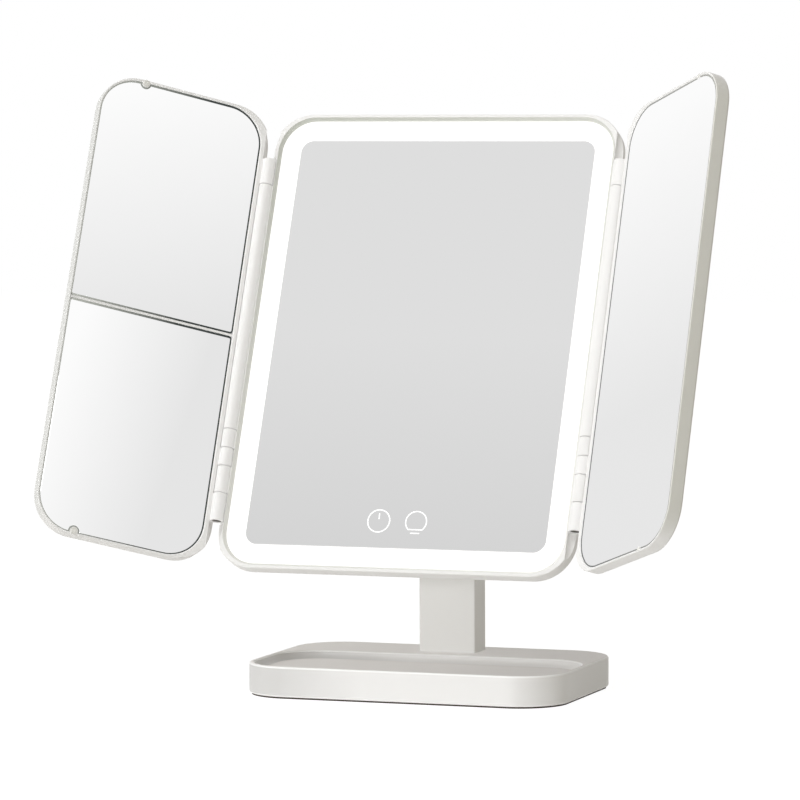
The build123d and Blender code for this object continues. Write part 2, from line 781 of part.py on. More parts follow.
def lamp_mark_face():
    """Globe with a flat foot, and a dash below it."""
    size = 2 * LAMP_MARK_RADIUS
    above = Pos(0, size / 2 - LAMP_CHORD_DROP) * Rectangle(size, size)
    globe = ring(LAMP_MARK_RADIUS) & above
    half_chord = (LAMP_MARK_RADIUS**2 - LAMP_CHORD_DROP**2) ** 0.5
    foot = Pos(0, MARK_STROKE / 2 - LAMP_CHORD_DROP) * Rectangle(2 * half_chord, MARK_STROKE)
    dash = Pos(0, -LAMP_DASH_DROP) * Rectangle(LAMP_DASH, MARK_STROKE)
    return Pos(lamp_mark_x, MARK_HEIGHT) * (globe + foot + dash)


def main_mirror():
    """Glass with its silvering, cut for the two flush touch marks."""
    body = layer(mirror_outline(0), GLASS_SINK, tape_front)
    for face in (power_mark_face(), lamp_mark_face()):
        body -= layer(face, 0, GLASS_SINK + MARK_DEPTH)
    return body


def touch_mark(face):
    """One touch mark, flush with the glass."""
    return group(layer(face, GLASS_SINK, GLASS_SINK + MARK_DEPTH).solids())


def mirror_tape():
    """Adhesive sheet between the mirror and the diffuser."""
    return layer(mirror_outline(TAPE_INSET), tape_front, pocket_floor)


def board_post_places():
    """Places of the four posts that carry the control board."""
    x = BOARD_WIDTH / 2 - BOARD_POST - FIT_GAP
    y = BOARD_HEIGHT / 2 - BOARD_POST - FIT_GAP
    return [(BOARD_SHIFT + i * x, board_mid + j * y) for i in (-1, 1) for j in (-1, 1)]


def reflector_tray():
    """White inner tray: lit channel round the border, raised middle behind the mirror."""
    rim = LEDGE_WIDTH + 2 * FIT_GAP
    body = layer(opening_outline(FIT_GAP), diffuser_back, ledge_front)
    body += layer(opening_outline(rim), diffuser_back, channel_back)
    channel = opening_outline(rim + REFLECTOR_WALL) - mirror_outline(PLATEAU_INSET)
    body -= layer(channel, 0, channel_floor)
    middle = mirror_outline(PLATEAU_INSET + REFLECTOR_WALL)
    body -= layer(middle, plateau_back, PANEL_THICK)
    for x, y in rear_screw_places():
        body += stud(x, y, plateau_back, rear_inside, SCREW_RADIUS + SCREW_BOSS_WALL)
        tip = PANEL_THICK - SCREW_LENGTH - FIT_GAP
        body -= stud(x, y, tip, PANEL_THICK, SCREW_RADIUS + SCREW_GAP)
    for x, y in board_post_places():
        body += stud(x, y, plateau_back, board_front, BOARD_POST)
    for x in (power_mark_x, lamp_mark_x):
        body -= stud(x, MARK_HEIGHT, 0, PANEL_THICK, TOUCH_PAD_RADIUS + FIT_GAP)
    body -= stud(-STRIP_WIRE_SHIFT, strip_end_mid(), channel_floor, PANEL_THICK, WIRE_RADIUS + FIT_GAP)
    return body


def strip_side_mid():
    """Distance of the side strips' middle from the panel's middle."""
    outer = opening_width / 2 - LEDGE_WIDTH - 2 * FIT_GAP - REFLECTOR_WALL
    inner = opening_width / 2 - MIRROR_MARGIN_SIDE - PLATEAU_INSET
    return (outer + inner) / 2


def strip_end_mid():
    """Height of the lower strip's middle."""
    outer = RIM_END + LEDGE_WIDTH + 2 * FIT_GAP + REFLECTOR_WALL
    inner = RIM_END + MIRROR_MARGIN_END + PLATEAU_INSET
    return (outer + inner) / 2


def strip_runs():
    """The four strips, as centre, length and whether they run up the panel."""
    side = strip_side_mid()
    low = strip_end_mid()
    high = PANEL_HEIGHT - low
    across = 2 * side - STRIP_WIDTH - STRIP_END_GAP
    upward = high - low - STRIP_WIDTH - STRIP_END_GAP
    return [
        (0, low, across, False),
        (0, high, across, False),
        (-side, panel_mid, upward, True),
        (side, panel_mid, upward, True),
    ]


def led_strips():
    """Four light strips on the floor of the channel."""
    strips = []
    for x, y, length, upright in strip_runs():
        size = (STRIP_WIDTH, length) if upright else (length, STRIP_WIDTH)
        outline = Pos(x, y) * Rectangle(size[0], size[1])
        strips.append(layer(outline, channel_floor - STRIP_THICK, channel_floor))
    return group(strips)


def leds():
    """Light packages at an even pitch along each strip."""
    packages = []
    back = channel_floor - STRIP_THICK
    for x, y, length, upright in strip_runs():
        count = int((length - LED_SIZE) / LED_PITCH) + 1
        for index in range(count):
            along = (index - (count - 1) / 2) * LED_PITCH
            place = Pos(x, y + along) if upright else Pos(x + along, y)
            packages.append(layer(place * Rectangle(LED_SIZE, LED_SIZE), back - LED_THICK, back))
    return group(packages)


def control_board():
    """Circuit board behind the touch marks."""
    outline = Pos(BOARD_SHIFT, board_mid) * Rectangle(BOARD_WIDTH, BOARD_HEIGHT)
    return layer(outline, board_front, board_back)


def touch_pads():
    """Two conductive pads between the board and the diffuser, behind the marks."""
    xs = (power_mark_x, lamp_mark_x)
    return group(stud(x, MARK_HEIGHT, diffuser_back, board_front, TOUCH_PAD_RADIUS) for x in xs)


def usb_socket():
    """Charging socket: a metal sleeve with a tongue, open to the back."""
    back = PANEL_THICK - FIT_GAP
    body = layer(socket_outline(0), board_back, back)
    floor = board_back + BOARD_THICK
    body -= layer(socket_outline(SOCKET_WALL), floor, PANEL_THICK)
    tongue = Pos(SOCKET_SHIFT, board_mid) * Rectangle(TONGUE_WIDTH, TONGUE_THICK)
    return body + layer(tongue, floor, back - BOARD_THICK)


def battery_pack():
    """Flat rechargeable cell behind the mirror."""
    mid = battery_low + BATTERY_HEIGHT / 2
    outline = rounded(BATTERY_WIDTH, BATTERY_HEIGHT, BATTERY_CORNER, y=mid)
    body = layer(outline, battery_front, battery_front + BATTERY_THICK)
    return fillet(body.edges().group_by(Axis.Z)[0], RIM_ROUND)


def battery_tape():
    """Adhesive sheet that holds the cell."""
    mid = battery_low + BATTERY_HEIGHT / 2
    width = BATTERY_WIDTH - 2 * TAPE_INSET
    outline = Pos(0, mid) * Rectangle(width, BATTERY_HEIGHT - 2 * TAPE_INSET)
    return layer(outline, plateau_back, battery_front)


def wiring_loom():
    """Two leads from the board to the cell, and one from the board to the lower strip."""
    depth = board_back + WIRE_RADIUS
    start = board_mid
    leads = []
    for x in (-WIRE_SPACING / 2, WIRE_SPACING / 2):
        leads.append(Pos(x, 0, -depth) * side_rod(start, battery_low, WIRE_RADIUS))
    back = channel_back + WIRE_RADIUS
    low = strip_end_mid()
    lead = Pos(-STRIP_WIRE_SHIFT, 0, -back) * side_rod(low, board_mid, WIRE_RADIUS)
    lead += stud(-STRIP_WIRE_SHIFT, low, channel_floor, back, WIRE_RADIUS)
    lead += stud(-STRIP_WIRE_SHIFT, board_mid, board_back, back, WIRE_RADIUS)
    return group(leads + [lead])


# Wings, drawn for the right side with the hinge axis on the local Y axis


def wing_layer(outline, front, back):
    """Extrude a flat outline between two depths behind the wing's front face."""
    return Pos(0, 0, -HINGE_PROUD) * layer(outline, front, back)


def wing_outline(inset):
    """Outline of a wing, drawn in by an inset."""
    width = wing_width - 2 * inset
    height = PANEL_HEIGHT - 2 * inset
    return rounded(width, height, WING_CORNER - inset, x=wing_mid_x, y=panel_mid)


def wing_opening(inset):
    """Outline of a wing rim's opening, drawn in by an inset."""
    width = wing_opening_width - 2 * inset
    height = PANEL_HEIGHT - 2 * WING_RIM_END - 2 * inset
    return rounded(width, height, WING_OPENING_CORNER - inset, x=wing_opening_x, y=panel_mid)


def bumper_studs(divided, front, back, wall):
    """Round posts with a wall round the two bumpers, between two depths of the wing."""
    places = left_bumper_places if divided else right_bumper_places
    radius = LEFT_BUMPER_RADIUS if divided else RIGHT_BUMPER_RADIUS
    studs = []
    for x, y in places:
        studs.append(Pos(0, 0, -HINGE_PROUD) * stud(x, y, front, back, radius + wall))
    return studs


def wing_frame(divided):
    """Rim, floor and side walls of a wing, with its lengths of barrel and bumper seats."""
    body = wing_layer(wing_outline(0), 0, WING_THICK)
    body = fillet(body.edges().group_by(Axis.Z)[-1], WING_RIM_ROUND)
    body = fillet(body.edges().group_by(Axis.Z)[0], WING_BACK_ROUND)
    body -= wing_layer(wing_opening(0), -THROUGH, wing_floor_front)
    body = chamfer(opening_edges(body), WING_RIM_LIP)
    cavity = wing_opening(0) & wing_outline(WING_BACK_RIM + WING_BACK_LEDGE)
    body -= wing_layer(cavity, wing_floor_back, WING_THICK)
    body -= wing_layer(wing_outline(WING_BACK_RIM), wing_back_front, WING_THICK + THROUGH)
    if divided:
        bar = Pos(wing_mid_x, divider_y) * Rectangle(wing_width - 2 * WING_RIM, DIVIDER_WIDTH)
        body += wing_layer(bar, DIVIDER_SINK, wing_floor_front)
    for boss in bumper_studs(divided, 0, wing_floor_front, BUMPER_BOSS_WALL):
        body += boss & wing_layer(wing_outline(0), 0, WING_THICK)
    for hole in bumper_studs(divided, -THROUGH, BUMPER_DEPTH, SCREW_GAP):
        body -= hole
    for room in grooves("wing"):
        body -= room
    for length in knuckles("wing"):
        body += length
    return body - pin_bore()


def wing_back():
    """Plate that closes a wing from behind."""
    outline = wing_outline(WING_BACK_RIM + FIT_GAP)
    return wing_layer(outline, wing_back_front, WING_THICK)


def wing_glass(inset, gap, front, back, halves):
    """Glass or tape of a wing, whole or in an upper and a lower half."""
    sheet = wing_layer(wing_opening(inset), front, back)
    for boss in bumper_studs(halves, 0, WING_THICK, BUMPER_BOSS_WALL + gap):
        sheet -= boss
    if not halves:
        return [sheet]
    width = wing_opening_width - 2 * inset
    pieces = []
    for end in (1, -1):
        near = divider_y + end * (DIVIDER_WIDTH / 2 + inset)
        far = panel_mid + end * PANEL_HEIGHT
        half_y = (near + far) / 2
        half = rounded(width, abs(far - near), HALF_GLASS_CORNER, x=wing_opening_x, y=half_y)
        pieces.append(sheet & wing_layer(half, front, back))
    return pieces


def wing_mirrors(gap, halves):
    """Mirror glass of a wing, with a gap all round."""
    back = WING_GLASS_SINK + WING_GLASS_THICK
    return wing_glass(gap, gap, WING_GLASS_SINK, back, halves)


def wing_tapes(gap, halves):
    """Adhesive sheets under a wing's glass."""
    front = WING_GLASS_SINK + WING_GLASS_THICK
    return group(wing_glass(TAPE_INSET, gap, front, wing_floor_front, halves))


def wing_bumpers(divided):
    """Two soft discs that land on the main rim when the wing is closed."""
    discs = bumper_studs(divided, -BUMPER_PROUD, BUMPER_DEPTH, 0)
    return group(fillet(d.edges().group_by(Axis.Z)[-1], BUMPER_PROUD) for d in discs)


# Assembly


def on_panel(part):
    """Lean a piece of the main panel back and set it on the stand."""
    return panel_plane.location * part


def on_right(part):
    """Hang a piece of the right wing on its barrel, swung to the front."""
    swing = Pos(axis_x, 0, HINGE_PROUD) * Rot(0, -RIGHT_OPEN_DEG, 0)
    return on_panel(swing * part)


def on_left(part):
    """Mirror a wing piece, hang it on the left barrel and swing it to the front."""
    swing = Pos(-axis_x, 0, HINGE_PROUD) * Rot(0, LEFT_OPEN_DEG, 0)
    return on_panel(swing * mirror(part, Plane.YZ))


def stand_parts():
    """Pieces that stand still."""
    return {
        "base_tray": base_tray(),
        "base_cover": base_cover(),
        "base_pad": base_pad(),
        "base_ballast": base_ballast(),
        "base_screws": base_screws(),
        "stem_shell": stem_shell(),
        "stem_cover": stem_cover_block(0),
        "stem_core": stem_core(),
        "stem_screws": stem_screws(),
        "tilt_bush": tilt_bush(),
        "friction_washers": friction_washers(),
    }


def axle_parts():
    """Pieces on the tilt axis that turn with the panel."""
    return {
        "tilt_axle": tilt_axle(),
        "spring_washer": spring_washer(),
        "tilt_nut": tilt_nut(),
        "axle_caps": axle_caps(),
    }


def panel_parts():
    """Pieces of the main panel, still flat."""
    return {
        "main_frame": main_frame(),
        "rear_shell": rear_shell(),
        "rear_screws": rear_screws(),
        "light_diffuser": light_diffuser(),
        "main_mirror": main_mirror(),
        "mirror_tape": mirror_tape(),
        "power_icon": touch_mark(power_mark_face()),
        "lamp_icon": touch_mark(lamp_mark_face()),
        "reflector_tray": reflector_tray(),
        "led_strips": led_strips(),
        "leds": leds(),
        "control_board": control_board(),
        "touch_pads": touch_pads(),
        "usb_socket": usb_socket(),
        "battery_pack": battery_pack(),
        "battery_tape": battery_tape(),
        "wiring_loom": wiring_loom(),
        "hinge_bracket": hinge_bracket(),
        "backing_plate": backing_plate(),
        "bracket_screws": bracket_screws(),
        "left_hinge_pin": hinge_pin(-1),
        "right_hinge_pin": hinge_pin(1),
    }


def left_wing_parts():
    """Pieces of the left wing, with two mirrors, still in the right wing's drawing."""
    upper, lower = wing_mirrors(LEFT_GLASS_GAP, True)
    return {
        "left_wing_frame": wing_frame(True),
        "left_wing_back": wing_back(),
        "left_upper_mirror": upper,
        "left_lower_mirror": lower,
        "left_mirror_tapes": wing_tapes(LEFT_GLASS_GAP, True),
        "left_bumpers": wing_bumpers(True),
    }


def right_wing_parts():
    """Pieces of the right wing, with one mirror."""
    return {
        "right_wing_frame": wing_frame(False),
        "right_wing_back": wing_back(),
        "right_mirror": wing_mirrors(RIGHT_GLASS_GAP, False)[0],
        "right_mirror_tape": wing_tapes(RIGHT_GLASS_GAP, False),
        "right_bumpers": wing_bumpers(False),
    }


def all_parts():
    """Every node of the mirror, placed in the world frame."""
    parts = stand_parts()
    parts.update(axle_parts())
    parts.update({name: on_panel(part) for name, part in panel_parts().items()})
    parts.update({name: on_left(part) for name, part in left_wing_parts().items()})
    parts.update({name: on_right(part) for name, part in right_wing_parts().items()})
    return parts


os.makedirs("parts", exist_ok=True)
for node, solid in all_parts().items():
    export_step(solid, "parts/" + node + ".step")
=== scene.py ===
"""Looks of a lighted tri-fold makeup mirror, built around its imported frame, in metres."""

import json
import logging
from dataclasses import dataclass, replace
from enum import Enum
from functools import cached_property
from math import cos, pi, radians, sin

import bpy
import numpy as np
from mathutils import Matrix, Vector


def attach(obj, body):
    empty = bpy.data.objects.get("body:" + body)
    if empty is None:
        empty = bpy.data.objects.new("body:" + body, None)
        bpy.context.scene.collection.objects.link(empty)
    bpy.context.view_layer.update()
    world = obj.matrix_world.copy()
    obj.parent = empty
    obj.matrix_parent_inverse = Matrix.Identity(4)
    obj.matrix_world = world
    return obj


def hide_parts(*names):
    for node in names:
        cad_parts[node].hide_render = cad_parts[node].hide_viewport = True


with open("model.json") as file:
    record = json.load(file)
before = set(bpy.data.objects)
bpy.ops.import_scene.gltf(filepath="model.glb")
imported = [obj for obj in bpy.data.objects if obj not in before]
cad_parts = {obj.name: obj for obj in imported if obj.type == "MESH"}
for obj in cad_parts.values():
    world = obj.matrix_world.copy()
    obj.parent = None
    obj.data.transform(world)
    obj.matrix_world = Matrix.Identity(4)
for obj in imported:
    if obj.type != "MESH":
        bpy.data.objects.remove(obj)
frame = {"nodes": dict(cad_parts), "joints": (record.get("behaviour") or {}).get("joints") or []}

LOG = logging.getLogger("makeup_mirror")
MM = 0.001

Socket = bpy.types.NodeSocket
Node = bpy.types.Node
Material = bpy.types.Material
Colour = tuple[float, float, float]
Place = tuple[float, float, float]
Span = tuple[float, float]
Light = tuple[float, float, float, float]
Value = float | tuple | Socket

# Layers of detail in a cloudy noise and in a grainy one
CLOUD_LAYERS = 3.0
GRAIN_LAYERS = 4.0


class Side(Enum):
    """Which wing, as the sign of its place along X."""

    LEFT = -1
    RIGHT = 1


# Shaders


def linear(colour: Colour) -> Light:
    """Turn a colour as a screen shows it into linear light, by the usual two-part screen curve.

    Args:
        colour: Red, green and blue from 0 to 255.

    Returns:
        Linear red, green and blue with an alpha of 1.
    """
    shown = np.array(colour, float) / 255
    light = np.where(shown <= 0.04045, shown / 12.92, ((shown + 0.055) / 1.055) ** 2.4)
    return (*light.tolist(), 1.0)


class Shader:
    """The nodes of one material or world, with short ways to add what the finishes share."""

    def __init__(self, owner: Material | bpy.types.World) -> None:
        """Start with an empty tree.

        Args:
            owner: The material or world that the nodes belong to.
        """
        self.owner = owner
        owner.use_nodes = True
        self.tree = owner.node_tree
        self.tree.nodes.clear()

    @cached_property
    def place(self) -> Socket:
        """The object's own place."""
        return self.node("ShaderNodeTexCoord").outputs["Object"]

    def node(self, kind: str, *values: Value, operation: str = "", **inputs: Value) -> Node:
        """Add a node and fill its inputs.

        Args:
            kind: Blender's type name of the node.
            values: Values or sockets, in the order of the inputs.
            operation: What a node of maths works out.
            inputs: Values or sockets, by input name with underscores for spaces.

        Returns:
            The new node.
        """
        made = self.tree.nodes.new(kind)
        if operation:
            made.operation = operation
        for socket, value in zip(made.inputs, values):
            self.fill(socket, value)
        for name, value in inputs.items():
            self.fill(made.inputs[name.replace("_", " ")], value)
        return made

    def fill(self, socket: Socket, value: Value) -> None:
        """Set a socket to a value, or link another socket to it.

        Args:
            socket: The input to fill.
            value: A plain value, or the socket to link.
        """
        if isinstance(value, bpy.types.NodeSocket):
            self.tree.links.new(value, socket)
        else:
            socket.default_value = value

    def maths(self, operation: str, *values: Socket | float) -> Socket:
        """One arithmetic step on one to three values."""
        return self.node("ShaderNodeMath", *values, operation=operation).outputs["Value"]

    def noise(self, cell: float, layers: float = 2.0, place: Socket | None = None) -> Socket:
        """Noise from 0 to 1 with cells of a size in metres, read at the object's own place or another one."""
        read = self.place if place is None else place
        return self.node("ShaderNodeTexNoise", Vector=read, Scale=1 / cell, Detail=layers).outputs["Fac"]

    def cells(self, size: float) -> Socket:
        """Distance from the middle of the nearest of many cells of one size."""
        return self.node("ShaderNodeTexVoronoi", Vector=self.place, Scale=1 / size).outputs["Distance"]

    def between(self, value: Socket, low: float, high: float, start: float = 0.0, end: float = 1.0) -> Socket:
        """Carry a value from the range of start to end to that of low to high, held at its ends."""
        ends = {"From_Min": start, "From_Max": end, "To_Min": low, "To_Max": high}
        return self.node("ShaderNodeMapRange", Value=value, **ends).outputs["Result"]

    def ramp(self, value: Socket, start: float, end: float) -> Socket:
        """Rise from 0 where the value is at the start to 1 where it is at the end."""
        return self.between(value, 0.0, 1.0, start, end)

    def blend(self, factor: Socket, first: Socket | Colour, second: Socket | Colour) -> Socket:
        """Colour between two colours.

        Args:
            factor: 0 gives the first colour and 1 the second.
            first: First colour, from 0 to 255 or from a socket.
            second: Second colour, in the same way.

        Returns:
            The blended colour.
        """
        made = self.tree.nodes.new("ShaderNodeMix")
        made.data_type = "RGBA"
        self.fill(made.inputs[0], factor)
        # Inputs 6 and 7 of this node are its colours, and output 2 is their blend
        for socket, colour in zip(made.inputs[6:8], (first, second)):
            self.fill(socket, linear(colour) if isinstance(colour, tuple) else colour)
        return made.outputs[2]

    def bump(self, height: Socket, depth: float) -> Socket:
        """Normal from a height map from 0 to 1, which stands for a depth in metres."""
        return self.node("ShaderNodeBump", Height=height, Distance=depth).outputs["Normal"]

    def drift(self, start: Place, run: Place, cloud: Socket, amount: float) -> Socket:
        """A run across the object, with a little cloud in it: (place - start) . run / |run|^2.

        Args:
            start: Place where the run is 0, in metres.
            run: The way from there to where it is 1.
            cloud: Noise that is mixed in.
            amount: How much of the noise is mixed in.

        Returns:
            The run, held between 0 and 1.
        """
        shifted = self.node("ShaderNodeVectorMath", self.place, start, operation="SUBTRACT")
        slope = tuple(np.array(run) / np.dot(run, run))
        along = self.node("ShaderNodeVectorMath", shifted.outputs["Vector"], slope, operation="DOT_PRODUCT")
        mixed = self.maths("MULTIPLY_ADD", cloud, amount, along.outputs["Value"])
        return self.ramp(mixed, 0.0, 1.0 + amount)

    def surface(self, **inputs: Value) -> Material:
        """Close the material with a principled surface.

        Args:
            inputs: Values or sockets, by input name with underscores for spaces.

        Returns:
            The finished material.
        """
        shaded = self.node("ShaderNodeBsdfPrincipled", **inputs)
        self.node("ShaderNodeOutputMaterial", Surface=shaded.outputs["BSDF"])
        return self.owner

    def show(self, seen: Node, unseen: Node, output: str) -> None:
        """Close the tree with one shader for rays that show, and another for the rest.

        Args:
            seen: Shader for rays from the camera, from gloss or through glass.
            unseen: Shader for all other rays.
            output: Blender's type name of the output node.
        """
        path = self.node("ShaderNodeLightPath").outputs
        shown = self.maths("MAXIMUM", path["Is Camera Ray"], path["Is Glossy Ray"])
        shown = self.maths("MAXIMUM", shown, path["Is Transmission Ray"])
        choice = self.node("ShaderNodeMixShader", shown, unseen.outputs[0], seen.outputs[0])
        self.node(output, Surface=choice.outputs[0])


# Finishes


@dataclass(frozen=True)
class Finish:
    """A finish of two colours, with a roughness that a pattern varies and a relief of some depth.

    The roughness goes from the shiny side of its play to the dull one while the pattern goes through
    its bulk, the range where most of its values lie.
    """

    name: str
    colour: Colour
    second: Colour
    roughness: float = 0.46
    play: Span = (-0.05, 0.05)
    bulk: Span = (0.3, 0.7)
    depth: float = 0.006 * MM
    metallic: float = 0.0

    def patterns(self, shader: Shader) -> tuple[Socket, Socket, Socket | None]:
        """Colour, pattern of the roughness and height of the relief, in each finish's own way."""
        raise NotImplementedError

    def build(self) -> Material:
        """Make the material.

        Returns:
            The finished material.
        """
        shader = Shader(bpy.data.materials.new(self.name))
        colour, wear, height = self.patterns(shader)
        ends = (self.roughness + side for side in self.play)
        relief = {} if height is None else {"Normal": shader.bump(height, self.depth)}
        roughness = shader.between(wear, *ends, *self.bulk)
        return shader.surface(Base_Color=colour, Metallic=self.metallic, Roughness=roughness, **relief)


@dataclass(frozen=True)
class MouldedPlastic(Finish):
    """Satin moulded plastic: eroded grain and faint flow clouds."""

    grain: float = 0.35 * MM
    cloud: float = 28 * MM
    cloud_share: float = 0.75

    def patterns(self, shader: Shader) -> tuple[Socket, Socket, Socket]:
        """Clouds with some grain in them as colour, clouds as wear and grain as relief.

        Args:
            shader: Nodes of the material.

        Returns:
            The colour, the pattern of the roughness and the height of the relief.
        """
        cloud = shader.noise(self.cloud, CLOUD_LAYERS)
        grain = shader.noise(self.grain, GRAIN_LAYERS)
        fine = shader.maths("MULTIPLY", grain, 1 - self.cloud_share)
        mixed = shader.maths("MULTIPLY_ADD", cloud, self.cloud_share, fine)
        return shader.blend(mixed, self.second, self.colour), cloud, grain


@dataclass(frozen=True)
class DriftingPlastic(Finish):
    """Satin plastic with a grain, whose tint drifts from one side of the piece to the other.

    The drift is 0 at its start and 1 after its run, with a little of the grain mixed in.
    """

    start: Place = (0.0, 0.0, 0.0)
    run: Place = (1.0, 0.0, 0.0)
    cloudy: float = 0.05
    grain: float = 0.35 * MM
    layers: float = GRAIN_LAYERS

    def tint(self, shader: Shader, noise: Socket) -> Socket:
        """The drifting colour."""
        return shader.blend(shader.drift(self.start, self.run, noise, self.cloudy), self.colour, self.second)

    def patterns(self, shader: Shader) -> tuple[Socket, Socket, Socket | None]:
        """The drifting colour, and the grain as wear and relief."""
        grain = shader.noise(self.grain, self.layers)
        return self.tint(shader, grain), grain, grain


@dataclass(frozen=True)
class EdgedPlastic(DriftingPlastic):
    """Drifting plastic with a tint of painted light on level faces and a painted highlight on its rounded
    edges.

    A face's slope is 0 where it stands upright and 1 where it is level. The rounded edges lie below
    the low height and above the high one.
    """

    # Painted light: level faces run from pale on the left to darker on the right, and the rounded edges take
    # a painted highlight
    painted_level_light: tuple[Colour, Colour] = ((254, 250, 247), (221, 216, 213))
    flat_start: Place = (-80 * MM, 0.0, 0.0)
    flat_run: Place = (140 * MM, 0.0, 0.0)
    painted_edge_shading: Colour = (254, 254, 253)
    low: float = 1.9 * MM
    high: float = 14.7 * MM
    soft: float = 0.15 * MM
    leaning: Span = (0.05, 0.25)
    level: Span = (0.9, 0.99)

    def tint(self, shader: Shader, noise: Socket) -> Socket:
        """The drifting colour, with the painted light tint on level faces and the painted highlight on the
        sloping edges.

        Args:
            shader: Nodes of the material.
            noise: Noise that is mixed into the drifts.

        Returns:
            The colour of the surface.
        """
        height = shader.node("ShaderNodeSeparateXYZ", shader.place).outputs["Z"]
        facing = shader.node("ShaderNodeSeparateXYZ", shader.place.node.outputs["Normal"])
        slope = shader.maths("ABSOLUTE", facing.outputs["Z"])
        leaning = shader.ramp(slope, *self.leaning)
        sloping = shader.maths("MULTIPLY", leaning, shader.ramp(slope, *self.level[::-1]))
        above = shader.ramp(height, self.high, self.high + self.soft)
        below = shader.ramp(height, self.low, self.low - self.soft)
        # Mask of the painted highlight on the rounded edges
        edge = shader.maths("MULTIPLY", sloping, shader.maths("ADD", above, below))
        flat_drift = shader.drift(self.flat_start, self.flat_run, noise, self.cloudy)
        flat = shader.blend(flat_drift, *self.painted_level_light)
        body = shader.blend(shader.ramp(slope, *self.level), super().tint(shader, noise), flat)
        return shader.blend(edge, body, self.painted_edge_shading)


@dataclass(frozen=True)
class GapShadeBead(DriftingPlastic):
    """Bead of painted shade round a glass, standing for the dark gap and glass edge, lighter towards one end
    of its drift.
    """

    roughness: float = 0.5
    play: Span = (-0.1, 0.1)
    depth: float = 0.02 * MM
    cloudy: float = 0.3
    grain: float = 0.8 * MM
    layers: float = CLOUD_LAYERS


@dataclass(frozen=True)
class SilveredGlass(DriftingPlastic):
    """Silvered glass: a clear reflection whose tint drifts across the sheet as a painted reflection, and
    faint smears.
    """

    roughness: float = 0.012
    play: Span = (0.0, 0.024)
    bulk: Span = (0.45, 0.75)
    metallic: float = 1.0
    grain: float = 22 * MM
    layers: float = CLOUD_LAYERS

    def patterns(self, shader: Shader) -> tuple[Socket, Socket, None]:
        """The drifting colour and the smears, without a relief."""
        return *super().patterns(shader)[:2], None


@dataclass(frozen=True)
class Rubber(Finish):
    """Soft rubber or silicone: dull, with a fine pore and dust in its hollows."""

    roughness: float = 0.78
    play: Span = (-0.08, 0.1)
    bulk: Span = (0.0, 1.0)
    depth: float = 0.03 * MM
    pore: float = 0.5 * MM
    dust_patch: float = 6 * MM

    def patterns(self, shader: Shader) -> tuple[Socket, Socket, Socket]:
        """Dusty pores as colour, dust as wear and pores as relief.

        Args:
            shader: Nodes of the material.

        Returns:
            The colour, the pattern of the roughness and the height of the relief.
        """
        pores = shader.cells(self.pore)
        dust = shader.noise(self.dust_patch, GRAIN_LAYERS)
        return shader.blend(shader.maths("MULTIPLY", pores, dust), self.colour, self.second), dust, pores


@dataclass(frozen=True)
class Metal(Finish):
    """Metal with fine lines drawn along one axis and a faint stain."""

    roughness: float = 0.3
    play: Span = (-0.08, 0.12)
    bulk: Span = (0.0, 1.0)
    depth: float = 0.01 * MM
    metallic: float = 1.0
    line: float = 1.2 * MM
    line_squeeze: Place = (1.0, 12.0, 12.0)
    stain_patch: float = 9 * MM
    stain_bulk: Span = (0.4, 0.8)

    def patterns(self, shader: Shader) -> tuple[Socket, Socket, Socket]:
        """Stains as colour, and lines as wear and relief.

        Args:
            shader: Nodes of the material.

        Returns:
            The colour, the pattern of the roughness and the height of the relief.
        """
        drawn = shader.node("ShaderNodeMapping", Vector=shader.place, Scale=self.line_squeeze)
        lines = shader.noise(self.line, CLOUD_LAYERS, drawn.outputs["Vector"])
        stain = shader.ramp(shader.noise(self.stain_patch, CLOUD_LAYERS), *self.stain_bulk)
        return shader.blend(stain, self.colour, self.second), lines, lines


@dataclass(frozen=True)
class Sheet(Finish):
    """Thin flat goods, such as tape, board, foil or foam, with its own weave or cells."""

    roughness: float = 0.6
    play: Span = (-0.06, 0.06)
    bulk: Span = (0.0, 1.0)
    cell: float = 1.5 * MM
    fleck_bulk: Span = (0.15, 0.75)

    def patterns(self, shader: Shader) -> tuple[Socket, Socket, Socket]:
        """Flecks as colour, wear and relief."""
        fleck = shader.ramp(shader.cells(self.cell), *self.fleck_bulk)
        return shader.blend(fleck, self.colour, self.second), fleck, fleck


@dataclass(frozen=True)
class Glow(Finish):
    """Lit opal plastic: a bright, even light of two tints, with a faint cloud in the resin."""

    resin: Colour = (176, 176, 172)
    roughness: float = 0.5
    strength: float = 0.8
    cloud: float = 12 * MM

    def build(self) -> Material:
        """Make the material.

        Returns:
            The finished material.
        """
        shader = Shader(bpy.data.materials.new(self.name))
        return shader.surface(
            Base_Color=linear(self.resin),
            Roughness=self.roughness,
            Emission_Color=shader.blend(shader.noise(self.cloud), self.second, self.colour),
            Emission_Strength=self.strength,
        )


IVORY_RIM = MouldedPlastic("ivory_rim", (244, 243, 242), (241, 240, 238))
# The base's upright faces get painted shade, darker towards the left end of the front
IVORY_BASE = EdgedPlastic(
    "ivory_base",
    (220, 219, 218),
    (241, 240, 239),
    roughness=0.38,
    start=(-58 * MM, 0.0, 0.0),
    run=(42 * MM, 0.0, 0.0),
)
IVORY_STEM = MouldedPlastic("ivory_stem", (247, 247, 245), (243, 242, 240), 0.5)
REFLECTOR_WHITE = MouldedPlastic("reflector_white", (248, 248, 246), (244, 244, 241), 0.6)
BEARING_WHITE = MouldedPlastic("bearing_white", (226, 226, 220), (218, 218, 211), 0.35)
WIRE_RED = MouldedPlastic("wire_insulation", (176, 44, 36), (150, 34, 28), 0.4)
LIT_OPAL = Glow("lit_opal", (255, 255, 255), (252, 252, 252))
LIT_MARK = Glow("lit_mark", (255, 255, 255), (250, 251, 253), strength=1.0)
PHOSPHOR = Glow("led_phosphor", (255, 236, 168), (250, 222, 140), cloud=0.6 * MM)
